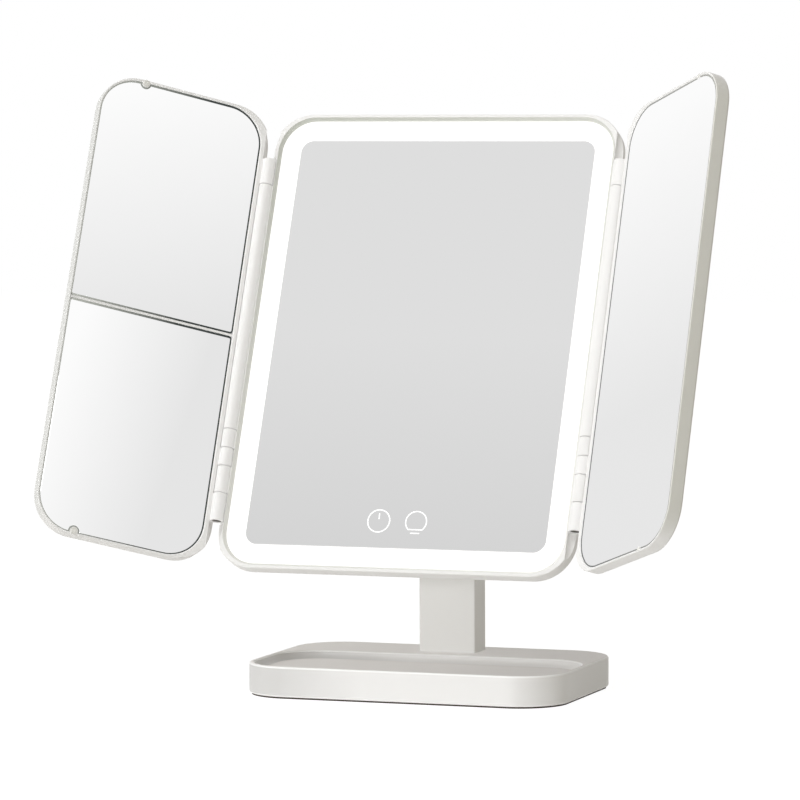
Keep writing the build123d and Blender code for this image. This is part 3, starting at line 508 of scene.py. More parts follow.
# The pad is rubber, and its dark brown is also the painted contact shadow line under the base
PAD_RUBBER_AND_SHADOW = Rubber("pad_rubber", (54, 42, 35), (78, 66, 57))
SILICONE = Rubber("bumper_silicone", (232, 231, 226), (222, 221, 215), 0.5, depth=0.01 * MM)
STEEL = Metal("zinc_steel", (178, 178, 180), (150, 150, 148))
SOCKET_METAL = Metal("socket_metal", (196, 197, 200), (168, 168, 170), 0.22)
# A dark disc of painted shadow in each hinge barrel's mouth
MOUTH_SHADOW = Metal("oiled_pin", (84, 77, 69), (64, 59, 53), 0.5)
CONTACT_GOLD = Metal("contact_gold", (214, 176, 92), (186, 146, 70), 0.25)
TAPE = Sheet("foam_tape", (224, 222, 214), (206, 204, 196), depth=0.03 * MM)
BOARD_GREEN = Sheet("board_laminate", (32, 96, 62), (22, 74, 48), 0.4, cell=2.4 * MM, depth=0.02 * MM)
FOAM = Sheet("sensor_foam", (52, 54, 58), (78, 80, 84), 0.9, cell=0.6 * MM, depth=0.08 * MM)
STRIP_WHITE = Sheet("strip_laminate", (236, 236, 230), (222, 222, 214), 0.45, cell=3 * MM, depth=0.01 * MM)
CELL_FOIL = Sheet(
    "cell_foil", (188, 190, 194), (170, 172, 176), 0.3, cell=7 * MM, depth=0.05 * MM, metallic=0.9
)


class Paintbox:
    """Builds each finish once and gives it to the pieces that share it."""

    def __init__(self) -> None:
        """Start with no material made."""
        self.made: dict[str, Material] = {}

    def material(self, finish: Finish) -> Material:
        """Find the material of a finish, or make it on first use.

        Args:
            finish: The finish.

        Returns:
            Its material.
        """
        if finish.name not in self.made:
            self.made[finish.name] = finish.build()
        return self.made[finish.name]

    def dress(self, finishes: dict[Finish, tuple[str, ...]]) -> None:
        """Give CAD nodes their finishes, and hide them from mirrors.

        Args:
            finishes: The names of the nodes that get each finish.
        """
        for finish, nodes in finishes.items():
            material = self.material(finish)
            for node in nodes:
                owner = frame["nodes"][node]
                if not owner.material_slots:
                    owner.data.materials.append(material)
                for slot in owner.material_slots:
                    slot.link = "OBJECT"
                    slot.material = material
                owner.visible_glossy = False
                LOG.info("dressed %s as %s", node, finish.name)


# Places on the flat parts


@dataclass(frozen=True)
class Space:
    """A flat part's origin, and as rows its own directions: across it, up it and out of its front."""

    origin: np.ndarray
    axes: np.ndarray

    @classmethod
    def main_panel(cls) -> "Space":
        """Space of the main panel, with its origin half way between the two hinge axes.

        Returns:
            The panel's space.
        """
        hinge = joint_of("left_wing_hinge")
        up = np.array(hinge["axis"], float)
        up *= np.sign(up[2])
        across = np.array((1.0, 0.0, 0.0))
        origin = np.array(hinge["pos_m"], float) * (0.0, 1.0, 1.0)
        return cls(origin, np.stack((across, up, np.cross(across, up))))

    def wing(self, side: Side) -> "Space":
        """Space of a wing, turned about its hinge by the angle that it stands open.

        Args:
            side: Which wing.

        Returns:
            The wing's space, with its origin on its hinge axis.
        """
        hinge = joint_of(f"{side.name.lower()}_wing_hinge")
        angle = -side.value * radians(hinge["range_deg"][0])
        across, up, out = self.axes
        turned = (cos(angle) * across + sin(angle) * out, up, cos(angle) * out - sin(angle) * across)
        return Space(np.array(hinge["pos_m"], float), np.stack(turned))

    def placed(self, local: np.ndarray | tuple) -> np.ndarray:
        """Carry one or more local points, with across, up and out last, to the frame."""
        return self.origin + np.asarray(local, float) @ self.axes

    def drift(self, first: np.ndarray | Place, last: np.ndarray | Place) -> dict[str, Place]:
        """Start and run, in the frame, of a finish that drifts between two local places."""
        start, end = self.placed((first, last))
        return {"start": tuple(start), "run": tuple(end - start)}

    def corners(self, node: str) -> np.ndarray:
        """Local places of a CAD node's vertices.

        Args:
            node: Name of the node.

        Returns:
            One row of across, up and out for each vertex.
        """
        mesh = frame["nodes"][node].data
        flat = np.empty(len(mesh.vertices) * 3, np.float32)
        mesh.vertices.foreach_get("co", flat)
        return (flat.reshape(-1, 3) - self.origin) @ self.axes.T

    def extent(self, node: str) -> tuple[np.ndarray, np.ndarray]:
        """Lowest and highest local place of a CAD node."""
        local = self.corners(node)
        return local.min(axis=0), local.max(axis=0)


def joint_of(name: str) -> dict:
    """The record's joint of that name."""
    return next(joint for joint in frame["joints"] if joint["name"] == name)


def added(name: str, data: bpy.types.ID) -> bpy.types.Object:
    """Put a new object in the scene.

    Args:
        name: Name of the object.
        data: The mesh, lamp or camera that it shows.

    Returns:
        The new object.
    """
    made = bpy.data.objects.new(name, data)
    bpy.context.scene.collection.objects.link(made)
    return made


# Surfaces


@dataclass(frozen=True)
class Notch:
    """A round bite out of the lower or upper edge of an outline, near one of its corners."""

    across: float
    up: float
    radius: float


@dataclass(frozen=True)
class Outline:
    """Rounded rectangle whose lower and upper corners have radii of their own."""

    low: np.ndarray
    high: np.ndarray
    low_corner: float
    high_corner: float
    notches: tuple[Notch, ...] = ()
    steps: int = 20

    def stretched(self, left: float, right: float, down: float, up: float) -> "Outline":
        """The outline with each edge moved outwards by its own amount, and its corners grown to suit.

        Args:
            left: How far the left edge moves.
            right: How far the right edge moves.
            down: How far the lower edge moves.
            up: How far the upper edge moves.

        Returns:
            The stretched outline.
        """
        return replace(
            self,
            low=self.low - (left, down),
            high=self.high + (right, up),
            low_corner=self.low_corner + down,
            high_corner=self.high_corner + up,
        )

    def notch_at(self, right: bool, top: bool) -> Notch | None:
        """Find the notch in one quarter of the outline.

        Args:
            right: Whether the quarter is on the right.
            top: Whether it is at the top.

        Returns:
            The notch, if there is one.
        """
        middle = (self.low + self.high) / 2
        for notch in self.notches:
            if (notch.across > middle[0], notch.up > middle[1]) == (right, top):
                return notch
        return None

    def corner(self, right: bool, top: bool, inset: float) -> np.ndarray:
        """One corner, drawn as the lower right one and mirrored into place.

        The corner is radius (cos t, sin t) from -90 degrees to 0. A notch puts its own arc before
        it, clockwise from the drawn-in edge to where the notch meets the corner or the edge again.

        Args:
            right: Whether the corner is on the right.
            top: Whether it is at the top.
            inset: How far the outline is drawn in.

        Returns:
            One row of across and up for each point, anticlockwise.
        """
        size = self.high_corner if top else self.low_corner
        centre = np.array((
            self.high[0] - size if right else self.low[0] + size,
            self.high[1] - size if top else self.low[1] + size,
        ))
        flip = np.array((1.0 if right else -1.0, -1.0 if top else 1.0))
        radius = size - inset
        start = -pi / 2
        runs = []
        notch = self.notch_at(right, top)
        if notch:
            middle = (np.array((notch.across, notch.up)) - centre) * flip
            reach = notch.radius + inset
            gap = float(np.hypot(*middle))
            swing = (radius**2 + gap**2 - reach**2) / (2 * radius * gap)
            crossing = float(np.arctan2(middle[1], middle[0]) + np.arccos(np.clip(swing, -1.0, 1.0)))
            lean = float(np.arcsin(np.clip((-radius - middle[1]) / reach, -1.0, 1.0)))
            last = lean
            if crossing > start:
                start = crossing
                meet = radius * np.array((cos(start), sin(start))) - middle
                last = float(np.arctan2(meet[1], meet[0]))
            bite = np.linspace(pi - lean, last, self.steps)
            runs.append(middle + reach * np.stack((np.cos(bite), np.sin(bite)), axis=1))
        turn = np.linspace(start, 0.0, self.steps)
        runs.append(radius * np.stack((np.cos(turn), np.sin(turn)), axis=1))
        points = centre + np.concatenate(runs) * flip
        return points[::-1] if flip.prod() < 0 else points

    def ring(self, inset: float) -> np.ndarray:
        """Outline drawn in by an inset: across and up of each point, anticlockwise from the lower left."""
        order = ((False, False), (True, False), (True, True), (False, True))
        return np.concatenate([self.corner(right, top, inset) for right, top in order])


def rings_on_outline(outline: Outline, profile: list[Span]) -> np.ndarray:
    """Carry a profile round an outline: each of its points gives one drawn-in ring at its height.

    Args:
        outline: The outline.
        profile: Inset and height of each profile point.

    Returns:
        Local points as rings by places by 3.
    """
    flats = [(outline.ring(inset), height) for inset, height in profile]
    return np.stack([np.column_stack((flat, np.full(len(flat), height))) for flat, height in flats])


def turned_rings(profile: list[Span], steps: int = 48) -> np.ndarray:
    """Turn a profile about the local out axis: (radius cos t, radius sin t, height).

    Args:
        profile: Radius and height of each profile point, outer side first.
        steps: Number of places round the turn.

    Returns:
        Local points as rings by places by 3.
    """
    angle = np.linspace(0.0, 2 * pi, steps, endpoint=False)
    radius, height = np.array(profile, float).T
    flat = radius[:, None, None] * np.stack((np.cos(angle), np.sin(angle)), axis=1)
    return np.concatenate((flat, np.broadcast_to(height[:, None, None], (len(radius), steps, 1))), axis=2)


def bar(low: Place, high: Place) -> np.ndarray:
    """Local rings of a plain bar: its rectangular section at each end of its depth.

    Args:
        low: Lowest local corner.
        high: Highest local corner.

    Returns:
        Local points as rings by places by 3.
    """
    across = (low[0], high[0], high[0], low[0])
    up = (low[1], low[1], high[1], high[1])
    return np.stack([np.column_stack((across, up, np.full(4, depth))) for depth in (low[2], high[2])])


class Ends(Enum):
    """How a tube of rings is closed."""

    CAPPED = "a flat cap on the first and the last ring"
    LOOPED = "the last ring joins the first one"


def tube_faces(rings: int, places: int, ends: Ends) -> list[list[int]]:
    """Faces of a tube of rings, four-cornered between one ring and the next.

    Args:
        rings: Number of rings, anticlockwise seen from the last one.
        places: Number of points in each ring.
        ends: How the tube is closed.

    Returns:
        The corner numbers of each face, all facing outwards.
    """
    ring = np.arange(rings if ends is Ends.LOOPED else rings - 1)[:, None]
    above = (ring + 1) % rings * places
    place = np.arange(places)[None, :]
    after = (place + 1) % places
    ring = ring * places
    quads = np.stack((ring + place, ring + after, above + after, above + place), axis=-1)
    faces = quads.reshape(-1, 4).tolist()
    if ends is Ends.CAPPED:
        faces.append(np.arange(places)[::-1].tolist())
        faces.append((np.arange(places) + (rings - 1) * places).tolist())
    return faces


@dataclass(frozen=True)
class Workshop:
    """Makes pieces from rings of points and hangs them on the frame's bodies.

    Edges that turn by more than the crease, in degrees, stay sharp.
    """

    paints: Paintbox
    crease: float = 35.0

    def piece(
        self, name: str, tubes: list[np.ndarray], finish: Finish, body: str, ends: Ends = Ends.CAPPED
    ) -> bpy.types.Object:
        """Make one piece from closed tubes of rings.

        Args:
            name: Name of the piece.
            tubes: Frame points of each tube, as rings by places by 3.
            finish: The finish of the whole piece.
            body: The body that it rides on.
            ends: How each tube is closed.

        Returns:
            The finished object.
        """
        faces: list[list[int]] = []
        start = 0
        for tube in tubes:
            rings, places = tube.shape[:2]
            faces += [[start + corner for corner in face] for face in tube_faces(rings, places, ends)]
            start += rings * places
        mesh = bpy.data.meshes.new(name)
        mesh.from_pydata(np.concatenate([tube.reshape(-1, 3) for tube in tubes]), [], faces)
        mesh.shade_smooth()
        mesh.set_sharp_from_angle(angle=radians(self.crease))
        mesh.materials.append(self.paints.material(finish))
        made = added(name, mesh)
        made.visible_glossy = False
        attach(made, body)
        LOG.info("made %s: %d faces on %s", name, len(faces), body)
        return made


# Sub-assemblies


@dataclass(frozen=True)
class ScrewHead:
    """A countersunk flat head with a cross recess, as a height over a disc."""

    radius: float = 2.55 * MM
    head: float = 1.0 * MM
    crown: float = 0.18 * MM
    arm_length: float = 1.45 * MM
    arm_half: float = 0.34 * MM
    recess: float = 0.75 * MM
    soft: float = 0.16 * MM
    eye_share: float = 0.0004
    rings: int = 26
    places: int = 64

    def inside(self, size: float, value: np.ndarray) -> np.ndarray:
        """1 where a value is under a size and 0 where it is over it, with a soft step 3 s^2 - 2 s^3."""
        step = np.clip((size - value) / self.soft + 0.5, 0.0, 1.0)
        return step * step * (3 - 2 * step)

    def rise(self, radius: np.ndarray, angle: np.ndarray) -> np.ndarray:
        """Height over the disc: crown (1 - r^2 / R^2) less the recess where a cross of two arms lies.

        Args:
            radius: Distance from the middle.
            angle: Angle round the middle.

        Returns:
            Height above the rim of the head.
        """
        across = np.abs(radius * np.cos(angle))
        upward = np.abs(radius * np.sin(angle))
        flat = self.inside(self.arm_length, across) * self.inside(self.arm_half, upward)
        upright = self.inside(self.arm_length, upward) * self.inside(self.arm_half, across)
        return self.crown * (1 - (radius / self.radius) ** 2) - self.recess * np.maximum(flat, upright)

    def rings_at(self, centre: Place) -> np.ndarray:
        """Local rings of one head, from its seat up the side and in over its face to a tiny eye.

        Args:
            centre: Local place of the middle of the rim, on the face it is sunk in.

        Returns:
            Local points as rings by places by 3, facing out of the back.
        """
        angle = np.linspace(0.0, 2 * pi, self.places, endpoint=False)
        radius = self.radius * np.sqrt(np.linspace(1.0, self.eye_share, self.rings))[:, None]
        height = self.rise(radius, angle[None, :])
        top = np.stack((radius * np.cos(angle), radius * np.sin(angle), height), axis=2)
        seat = top[0] * (1.0, 1.0, 0.0) - (0.0, 0.0, self.head)
        return np.concatenate((seat[None], top)) * (-1.0, 1.0, -1.0) + centre


@dataclass(frozen=True)
class Glasswork:
    """Sheets of silvered glass with a seamed edge, and the dark bead of painted shade in the gap round them.
    """

    seam: float = 0.3 * MM
    main_corner: float = 6.2 * MM
    half_corner: float = 1.1 * MM
    main_drop: float = 0.02 * MM
    bead_rise: float = 0.06 * MM
    top_lap: float = 0.35 * MM
    left_lap: float = 0.05 * MM
    right_lap: float = 0.45 * MM
    low_lap: float = 0.2 * MM
    bead_play: float = 0.03 * MM

    def sheet(self, outline: Outline, back: float, front: float) -> np.ndarray:
        """Local rings of one sheet from its back's height to its face's, with both edges seamed."""
        profile = [(self.seam, back), (0.0, back + self.seam), (0.0, front - self.seam), (self.seam, front)]
        return rings_on_outline(outline, profile)

    def bead(self, outline: Outline, sheet: Outline, gap: float, back: float, front: float) -> np.ndarray:
        """Local rings of the bead of painted shade round one sheet: up its outside, over the sheet's edge and
        down the gap.

        The bead laps furthest over the right and top edges and least over the left one.

        Args:
            outline: Outline that lies one gap inside the frame's opening.
            sheet: Edge of the sheet itself.
            gap: Width of the gap.
            back: Height of the sheet's back.
            front: Height of the sheet's face.

        Returns:
            Local points as rings by places by 3, to be looped.
        """
        outer = self.bead_play - gap
        inner = -self.bead_play
        top = front + self.bead_rise
        rest = front + self.bead_play
        lapped = sheet.stretched(-self.left_lap, -self.right_lap, -self.low_lap, -self.top_lap)
        return np.concatenate((
            rings_on_outline(outline, [(outer, back), (outer, top)]),
            rings_on_outline(lapped, [(0.0, top), (0.0, rest)]),
            rings_on_outline(sheet, [(inner, rest), (inner, back)]),
        ))


@dataclass(frozen=True)
class Charging:
    """Contacts on the two faces of the charging socket's tongue."""

    count: int = 12
    pitch: float = 0.5 * MM
    width: float = 0.27 * MM
    length: float = 2.6 * MM
    tongue_half: float = 0.35 * MM
    thickness: float = 0.03 * MM
    end_inset: float = 1.55 * MM

    def bars(self, low: np.ndarray, high: np.ndarray) -> list[np.ndarray]:
        """Local rings of every contact: the bar number n lies (n - (count - 1) / 2) pitches off the middle.

        Args:
            low: Lowest local place of the socket.
            high: Highest local place of the socket.

        Returns:
            One tube of rings for each contact.
        """
        across, up = (low[:2] + high[:2]) / 2
        start = low[2] + self.end_inset
        tubes = []
        for face in (-1, 1):
            rows = sorted((face * self.tongue_half, face * (self.tongue_half + self.thickness)))
            for number in range(self.count):
                left = across + (number - (self.count - 1) / 2) * self.pitch - self.width / 2
                last = (left + self.width, up + rows[1], start + self.length)
                tubes.append(bar((left, up + rows[0], start), last))
        return tubes


@dataclass(frozen=True)
class MainPanel:
    """The leaning middle panel with its lit border, mirror and touch marks."""

    work: Workshop
    space: Space
    glass: Glasswork = Glasswork()
    screw: ScrewHead = ScrewHead()
    charging: Charging = Charging()
    body: str = "main_panel"
    opening_corner: float = 17.0 * MM
    diffuser_play: float = 0.15 * MM
    # A thin band of painted shade on the rim's inner wall and lip
    wall_shade_thick: float = 0.15 * MM
    wall_shade_height: float = 1.8 * MM
    wall_shade_play: float = 0.03 * MM
    lip: float = 0.95 * MM
    wall_shade_colours: tuple[Colour, Colour] = ((196, 198, 189), (240, 239, 235))
    # Painted reflection: the middle mirror's tint from its middle down to its foot
    painted_reflection_colours: tuple[Colour, Colour] = ((222, 222, 222), (212, 212, 212))

    def build(self) -> None:
        """Make and dress the whole panel."""
        self.dress_nodes()
        self.mirror()
        self.wall_shade()
        self.back_screws("rear_screws", "rear_screw_heads", 3)
        self.back_screws("bracket_screws", "bracket_screw_heads", 2)
        self.contacts()

    def dress_nodes(self) -> None:
        """Give the panel's CAD nodes their finishes."""
        axle = ("tilt_axle", "spring_washer", "tilt_nut", "backing_plate")
        pins = ("left_hinge_pin", "right_hinge_pin")
        self.work.paints.dress({
            IVORY_RIM: ("main_frame", "rear_shell"),
            IVORY_STEM: ("hinge_bracket", "axle_caps"),
            LIT_OPAL: ("light_diffuser",),
            LIT_MARK: ("power_icon", "lamp_icon"),
            TAPE: ("mirror_tape", "battery_tape"),
            REFLECTOR_WHITE: ("reflector_tray",),
            STRIP_WHITE: ("led_strips",),
            PHOSPHOR: ("leds",),
            BOARD_GREEN: ("control_board",),
            FOAM: ("touch_pads",),
            SOCKET_METAL: ("usb_socket",),
            CELL_FOIL: ("battery_pack",),
            WIRE_RED: ("wiring_loom",),
            STEEL: ("main_mirror", "rear_screws", "bracket_screws", *axle, *pins),
        })

    def mirror(self) -> None:
        """Replace the middle mirror by a sheet of silvered glass, whose tint drifts over its lower half as a
        painted reflection.
        """
        low, high = self.space.extent("main_mirror")
        outline = Outline(low[:2], high[:2], self.glass.main_corner, self.glass.main_corner)
        drift = self.space.drift((0.0, (low[1] + high[1]) / 2, high[2]), (0.0, low[1], high[2]))
        finish = SilveredGlass("main_silver", *self.painted_reflection_colours, **drift)
        rings = self.glass.sheet(outline, low[2], high[2] - self.glass.main_drop)
        sheet = self.work.piece("main_mirror_glass", [self.space.placed(rings)], finish, self.body)
        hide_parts("main_mirror")

    def wall_shade(self) -> None:
        """Cover the rim's inner wall and its sloping lip with a thin band of painted shade, greyer at the top
        left.
        """
        low, high = self.space.extent("light_diffuser")
        play = self.diffuser_play
        outline = Outline(low[:2] - play, high[:2] + play, self.opening_corner, self.opening_corner)
        outer = self.wall_shade_play
        inner = outer + self.wall_shade_thick
        back = high[2] + outer
        turn = high[2] + self.wall_shade_height
        front = turn + self.lip + 2 * outer
        outside = [(outer, back), (outer, turn + outer), (-self.lip, front)]
        inside = [(self.wall_shade_thick / 2 - self.lip, front), (inner, turn - outer), (inner, back)]
        rings = rings_on_outline(outline, outside + inside)
        drift = self.space.drift((low[0], high[1], high[2]), (high[0], low[1], high[2]))
        # Painted shade, greyer at the top left
        finish = DriftingPlastic("rim_lining", *self.wall_shade_colours, **drift)
        band = self.work.piece("rim_lining_band", [self.space.placed(rings)], finish, self.body, Ends.LOOPED)

    def back_screws(self, node: str, name: str, rows: int) -> None:
        """Replace two columns of screws in the back by heads with a cross recess.

        Args:
            node: The screws' CAD node.
            name: Name of the new piece.
            rows: Number of screws in each column.
        """
        low, high = self.space.extent(node)
        inset = self.screw.radius
        heights = np.linspace(low[1] + inset, high[1] - inset, rows)
        places = [(side * (high[0] - inset), up, low[2]) for side in (-1, 1) for up in heights]
        tubes = [self.space.placed(self.screw.rings_at(place)) for place in places]
        heads = self.work.piece(name, tubes, STEEL, self.body)
        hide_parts(node)

    def contacts(self) -> None:
        """Put the gold contacts on the charging socket's tongue."""
        tubes = [self.space.placed(tube) for tube in self.charging.bars(*self.space.extent("usb_socket"))]
        pins = self.work.piece("usb_contacts", tubes, CONTACT_GOLD, self.body)


@dataclass(frozen=True)
class Pane:
    """One mirror of a wing: where its tint drifts as a painted reflection, and whether an edge lies along the
    split between two.

    The drift's two ends are shares of the sheet, across and up.
    """

    node: str
    start: Span
    end: Span
    colour: Colour = (252, 252, 252)
    second: Colour = (229, 229, 229)
    split_low: bool = False
    split_high: bool = False


@dataclass(frozen=True)
class WingLook:
    """What the two wings don't share.

    The gap shade is what the bead of painted shade keeps of the glass's gap at the sides and the foot. The
    bead's painted shade runs from lighter at the outer edge to darkest at a share of the outer edge's place
    across, and a share of the height down.
    """

    panes: tuple[Pane, ...]
    tapes: str
    glass_gap: float
    gap_shade: float
    # Painted shade along the wing's outer edge
    painted_edge_shading: Colour
    shade_bead_colours: tuple[Colour, Colour]
    dark_end: Span


LOOKS = {
    Side.LEFT: WingLook(
        panes=(
            Pane("left_upper_mirror", (0.15, 0.95), (0.75, 0.0), split_low=True),
            Pane("left_lower_mirror", (0.0, 0.55), (0.75, 0.45), split_high=True),
        ),
        tapes="left_mirror_tapes",
        glass_gap=0.8 * MM,
        gap_shade=0.33 * MM,
        painted_edge_shading=(227, 227, 225),
        shade_bead_colours=((206, 209, 203), (36, 44, 42)),
        dark_end=(0.45, 0.0),
    ),
    Side.RIGHT: WingLook(
        panes=(Pane("right_mirror", (0.4, 0.95), (0.45, 0.32), colour=(251, 251, 251)),),
        tapes="right_mirror_tape",
        glass_gap=0.5 * MM,
        gap_shade=0.5 * MM,
        painted_edge_shading=(228, 227, 220),
        shade_bead_colours=((186, 186, 181), (40, 46, 52)),
        dark_end=(-0.555, 0.16),
    ),
}


@dataclass(frozen=True)
class Wing:
    """One folding wing, with one or two mirrors and its soft bumpers."""

    work: Workshop
    space: Space
    side: Side
    look: WingLook
    glass: Glasswork = Glasswork()
    opening_corner: float = 18.6 * MM
    boss_wall: float = 0.3 * MM
    bumper_dome: float = 0.25 * MM
    dome_turn: float = 0.48 * pi
    dome_steps: int = 8
    dome_fullness: float = 0.35
    mouth_depth: float = 6.0 * MM
    mouth_radius: float = 2.4 * MM
    # Depth and thickness of the disc of painted shadow in the barrel's mouth
    shade_sunk: float = 0.6 * MM
    shade_thick: float = 1.2 * MM
    # Width of the painted shade along the wing's outer edge
    edge_shade_run: float = 8.0 * MM

    @property
    def word(self) -> str:
        """The side as a word."""
        return self.side.name.lower()

    @property
    def body(self) -> str:
        """The body that the wing's pieces ride on."""
        return f"{self.word}_wing"

    def build(self) -> None:
        """Make and dress the whole wing."""
        self.work.paints.dress({
            self.rim_finish(): (f"{self.word}_wing_frame",),
            IVORY_RIM: (f"{self.word}_wing_back",),
            TAPE: (self.look.tapes,),
            STEEL: tuple(pane.node for pane in self.look.panes),
            SILICONE: (f"{self.word}_bumpers",),
        })
        self.bumpers()
        beads = [self.mirror(pane) for pane in self.look.panes]
        # The bead is painted shade in the gap round the glass
        finish = self.shade_bead_finish()
        gap_shade = self.work.piece(f"{self.word}_glass_beads", beads, finish, self.body, Ends.LOOPED)
        self.mouth_shade()

    def outer_top(self) -> np.ndarray:
        """Local place of the frame's outer top corner, at its front."""
        low, high = self.space.extent(f"{self.word}_wing_frame")
        return np.array((low[0] if self.side is Side.LEFT else high[0], high[1], high[2]))

    def rim_finish(self) -> DriftingPlastic:
        """Work out the finish of the wing's frame.

        Returns:
            The rim's plastic, with painted shade a little darker along the wing's outer edge.
        """
        outer = self.outer_top()
        drift = self.space.drift(outer, outer - (self.side.value * self.edge_shade_run, 0.0, 0.0))
        return DriftingPlastic(f"{self.word}_ivory_rim", self.look.painted_edge_shading, IVORY_RIM.colour, **drift)

    def shade_bead_finish(self) -> GapShadeBead:
        """Work out the finish of the bead round the wing's glass.

        Returns:
            Painted shade that is lighter at the outer edge on the left and at the outer top corner on the
            right, and darker inwards.
        """
        low, high = self.space.extent(f"{self.word}_wing_frame")
        outer = self.outer_top()
        across, down = self.look.dark_end
        drift = self.space.drift(outer, (outer[0] * across, outer[1] - down * (high[1] - low[1]), outer[2]))
        return GapShadeBead(f"{self.word}_bead", *self.look.shade_bead_colours, **drift)

    def mouth_shade(self) -> None:
        """Put a dark disc of painted shadow on the hinge pin, sunk in the mouth of the wing's lowest length
        of barrel.
        """
        low, high = self.space.extent(f"{self.word}_hinge_pin")
        middle = (low + high) / 2
        centre = self.space.placed((middle[0], low[1] - self.mouth_depth + self.shade_sunk, middle[2]))
        rings = turned_rings([(self.mouth_radius, 0.0), (self.mouth_radius, self.shade_thick)])
        across, up, out = self.space.axes
        tube = centre + rings @ np.stack((across, -out, up))
        cap = self.work.piece(f"{self.word}_pin_cap", [tube], MOUTH_SHADOW, self.body)

    def bumper_centres(self) -> tuple[np.ndarray, float]:
        """Find the two bumpers of the wing.

        Returns:
            Their local centres and their radius.
        """
        local = self.space.corners(f"{self.word}_bumpers")
        upper = local[:, 1] > local[:, 1].mean()
        boxes = [(own.min(axis=0), own.max(axis=0)) for own in (local[~upper], local[upper])]
        low, high = boxes[0]
        return np.array([(foot + head) / 2 for foot, head in boxes]), (high[0] - low[0]) / 2

    def bumpers(self) -> None:
        """Replace the bumpers by soft domed discs: radius (cos t)^fullness, and the dome's sin t high."""
        node = f"{self.word}_bumpers"
        low, high = self.space.extent(node)
        centres, radius = self.bumper_centres()
        turn = np.linspace(0.0, self.dome_turn, self.dome_steps)
        wide = radius * np.cos(turn) ** self.dome_fullness
        rise = high[2] - self.bumper_dome * (1 - np.sin(turn))
        rings = turned_rings([(radius, low[2]), *zip(wide, rise)])
        tubes = [self.space.placed(rings + centre * (1.0, 1.0, 0.0)) for centre in centres]
        discs = self.work.piece(f"{self.word}_soft_bumpers", tubes, SILICONE, self.body)
        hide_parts(node)

    def bites(self, foot: float, head: float) -> tuple[Notch, ...]:
        """Bites for the left wing's large bumpers that a mirror between two heights reaches.

        The right wing's small bumpers stand on bosses that hide the bites behind them.

        Args:
            foot: Local height of the mirror's lower edge.
            head: Local height of its upper edge.

        Returns:
            The notches, none on the right wing.
        """
        centres, radius = self.bumper_centres()
        reach = radius + self.boss_wall + self.look.glass_gap
        beside = [centre for centre in centres if foot - reach < centre[1] < head + reach]
        return tuple(Notch(*centre[:2], reach) for centre in beside if self.side is Side.LEFT)

    def mirror(self, pane: Pane) -> np.ndarray:
        """Replace one mirror by a sheet of silvered glass.

        Args:
            pane: The mirror.

        Returns:
            Frame points of the bead round the sheet.
        """
        low, high = self.space.extent(pane.node)
        gap = self.look.glass_gap
        corner = self.opening_corner - gap
        corners = [self.glass.half_corner if split else corner for split in (pane.split_low, pane.split_high)]
        outline = Outline(low[:2], high[:2], *corners, self.bites(low[1], high[1]))
        ends = (low + (high - low) * (*share, 1.0) for share in (pane.start, pane.end))
        # The sheet's drifting tint is a painted reflection
        finish = SilveredGlass(f"{pane.node}_silver", pane.colour, pane.second, **self.space.drift(*ends))
        spread = gap - self.look.gap_shade
        edge = outline.stretched(spread, spread, 0.0 if pane.split_low else spread, 0.0)
        rings = self.glass.sheet(edge, low[2], high[2])
        sheet = self.work.piece(f"{pane.node}_glass", [self.space.placed(rings)], finish, self.body)
        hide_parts(pane.node)
        return self.space.placed(self.glass.bead(outline, edge, gap, low[2], high[2]))


@dataclass(frozen=True)
class Stand:
    """The weighted base with its tray and the bent stem."""

    work: Workshop

    def build(self) -> None:
        """Dress the whole stand."""
        self.work.paints.dress({
            IVORY_BASE: ("base_tray", "base_cover"),
            PAD_RUBBER_AND_SHADOW: ("base_pad",),
            IVORY_STEM: ("stem_shell", "stem_cover"),
            STEEL: ("base_ballast", "base_screws", "stem_core", "stem_screws"),
            BEARING_WHITE: ("tilt_bush", "friction_washers"),
        })


# Studio


@dataclass(frozen=True)
class PhotoCamera:
    """Camera at the photograph's angle, in degrees, metres and millimetres of lens."""

    azimuth: float = 19.81
    elevation: float = 3.87
    roll: float = -0.22
    distance: float = 2.33438
    aim: Place = (-0.01508, 0.0, 0.1441)
    lens: float = 211.86
    sensor: float = 36.0

    def build(self) -> None:
        """Make the camera and set it as the scene's own."""
        turn, rise, tip = (radians(angle) for angle in (self.azimuth, self.elevation, self.roll))
        ahead = Vector((-sin(turn) * cos(rise), cos(turn) * cos(rise), -sin(rise)))
        right = Vector((cos(turn), sin(turn), 0.0))
        above = right.cross(ahead)
        level = right * cos(tip) + above * sin(tip)
        upright = above * cos(tip) - right * sin(tip)
        axes = Matrix((level, upright, -ahead)).transposed().to_4x4()
        lens = bpy.data.cameras.new("photo_camera")
        lens.lens = self.lens
        lens.sensor_width = self.sensor
        camera = added("photo_camera", lens)
        camera.matrix_world = Matrix.Translation(Vector(self.aim) - ahead * self.distance) @ axes
        bpy.context.scene.camera = camera


@dataclass(frozen=True)
class Softbox:
    """A large soft lamp, round the object at an azimuth and an elevation in degrees."""

    name: str
    azimuth: float
    elevation: float
    size: float
    power: float
    colour: tuple[float, float, float]
    distance: float = 2.3
    aim: Place = (0.0, 0.0, 0.12)

    def build(self) -> None:
        """Make the lamp and point it at the object."""
        lamp = bpy.data.lights.new(self.name, "AREA")
        lamp.shape = "SQUARE"
        lamp.size = self.size
        lamp.energy = self.power
        lamp.color = self.colour
        turn, rise = radians(self.azimuth), radians(self.elevation)
        away = Vector((sin(turn) * cos(rise), -cos(turn) * cos(rise), sin(rise)))
        made = added(self.name, lamp)
        made.location = Vector(self.aim) + away * self.distance
        made.rotation_euler = away.to_track_quat("Z", "Y").to_euler()
        made.visible_camera = False


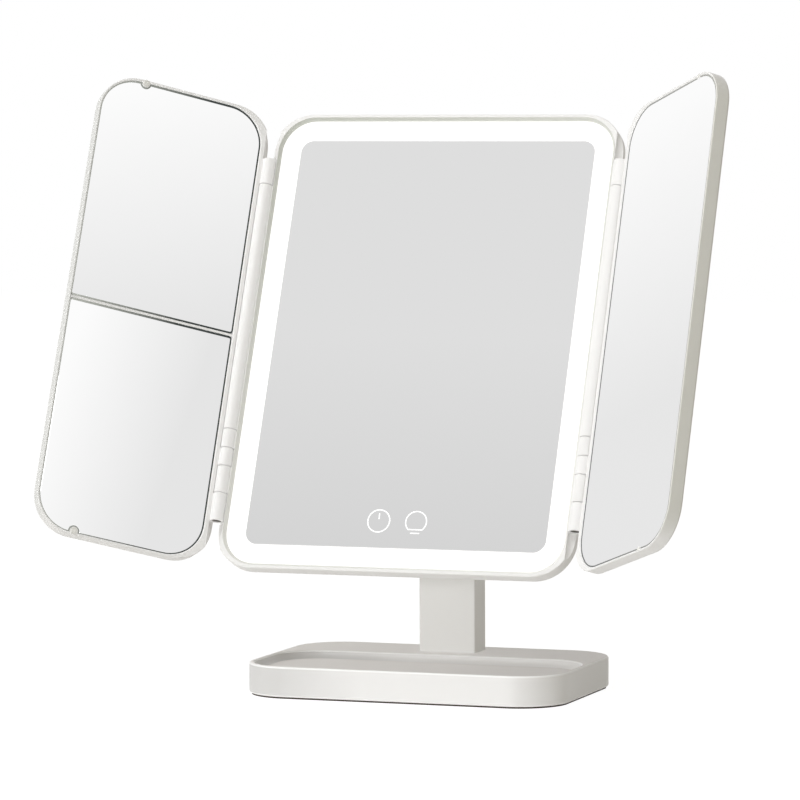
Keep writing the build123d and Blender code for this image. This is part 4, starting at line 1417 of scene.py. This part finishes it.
@dataclass(frozen=True)
class Studio:
    """White studio: pale floor, soft lamps, white background and the camera."""

    ambient: Light = (0.335, 0.32, 0.282, 1.0)
    backdrop: Light = (1.0, 1.0, 1.0, 1.0)
    floor_half: float = 4.0
    floor_drop: float = 0.1 * MM
    floor_colour: Colour = (246, 245, 243)
    floor_glow: float = 0.94
    floor_shade: Light = (0.2, 0.2, 0.2, 1.0)
    camera: PhotoCamera = PhotoCamera()
    lamps: tuple[Softbox, ...] = (
        Softbox("key_softbox", -56.0, 20.0, 1.2, 8.2, (0.955, 0.975, 1.0)),
        Softbox("low_softbox", -10.0, 2.0, 0.6, 17.0, (0.955, 0.975, 1.0)),
        Softbox("high_softbox", -24.0, 64.0, 0.8, 16.0, (0.955, 0.97, 1.0)),
    )

    def build(self) -> None:
        """Set up everything round the object."""
        self.camera.build()
        for lamp in self.lamps:
            lamp.build()
        self.world()
        self.floor()
        bpy.context.scene.view_settings.view_transform = "Standard"

    def world(self) -> None:
        """White where it is seen, and a dimmer warm fill as light."""
        shader = Shader(bpy.data.worlds.new("studio_world"))
        white = shader.node("ShaderNodeBackground", Color=self.backdrop)
        fill = shader.node("ShaderNodeBackground", Color=self.ambient)
        shader.show(white, fill, "ShaderNodeOutputWorld")
        bpy.context.scene.world = shader.owner

    def floor(self) -> None:
        """A pale floor just under the object, nearly white where it is seen, with a soft shadow in it."""
        corners = self.floor_half * np.array([(-1, -1), (1, -1), (1, 1), (-1, 1)])
        mesh = bpy.data.meshes.new("studio_floor")
        mesh.from_pydata(np.column_stack((corners, np.full(4, -self.floor_drop))), [], [(0, 1, 2, 3)])
        shader = Shader(bpy.data.materials.new("studio_floor"))
        plain = shader.node("ShaderNodeBsdfDiffuse", Color=linear(self.floor_colour))
        shaded = shader.node("ShaderNodeBsdfDiffuse", Color=self.floor_shade)
        glow = shader.node("ShaderNodeEmission", Strength=self.floor_glow)
        both = shader.node("ShaderNodeAddShader", glow.outputs[0], shaded.outputs[0])
        shader.show(both, plain, "ShaderNodeOutputMaterial")
        mesh.materials.append(shader.owner)
        floor = added("studio_floor", mesh)


def main() -> None:
    """Build the studio and the mirror's sub-assemblies in order."""
    logging.basicConfig(level=logging.INFO, format="%(message)s")
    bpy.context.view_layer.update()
    work = Workshop(Paintbox())
    panel = Space.main_panel()
    Studio().build()
    Stand(work).build()
    MainPanel(work, panel).build()
    for side, look in LOOKS.items():
        Wing(work, panel.wing(side), side, look).build()


if __name__ == "__main__":
    main()
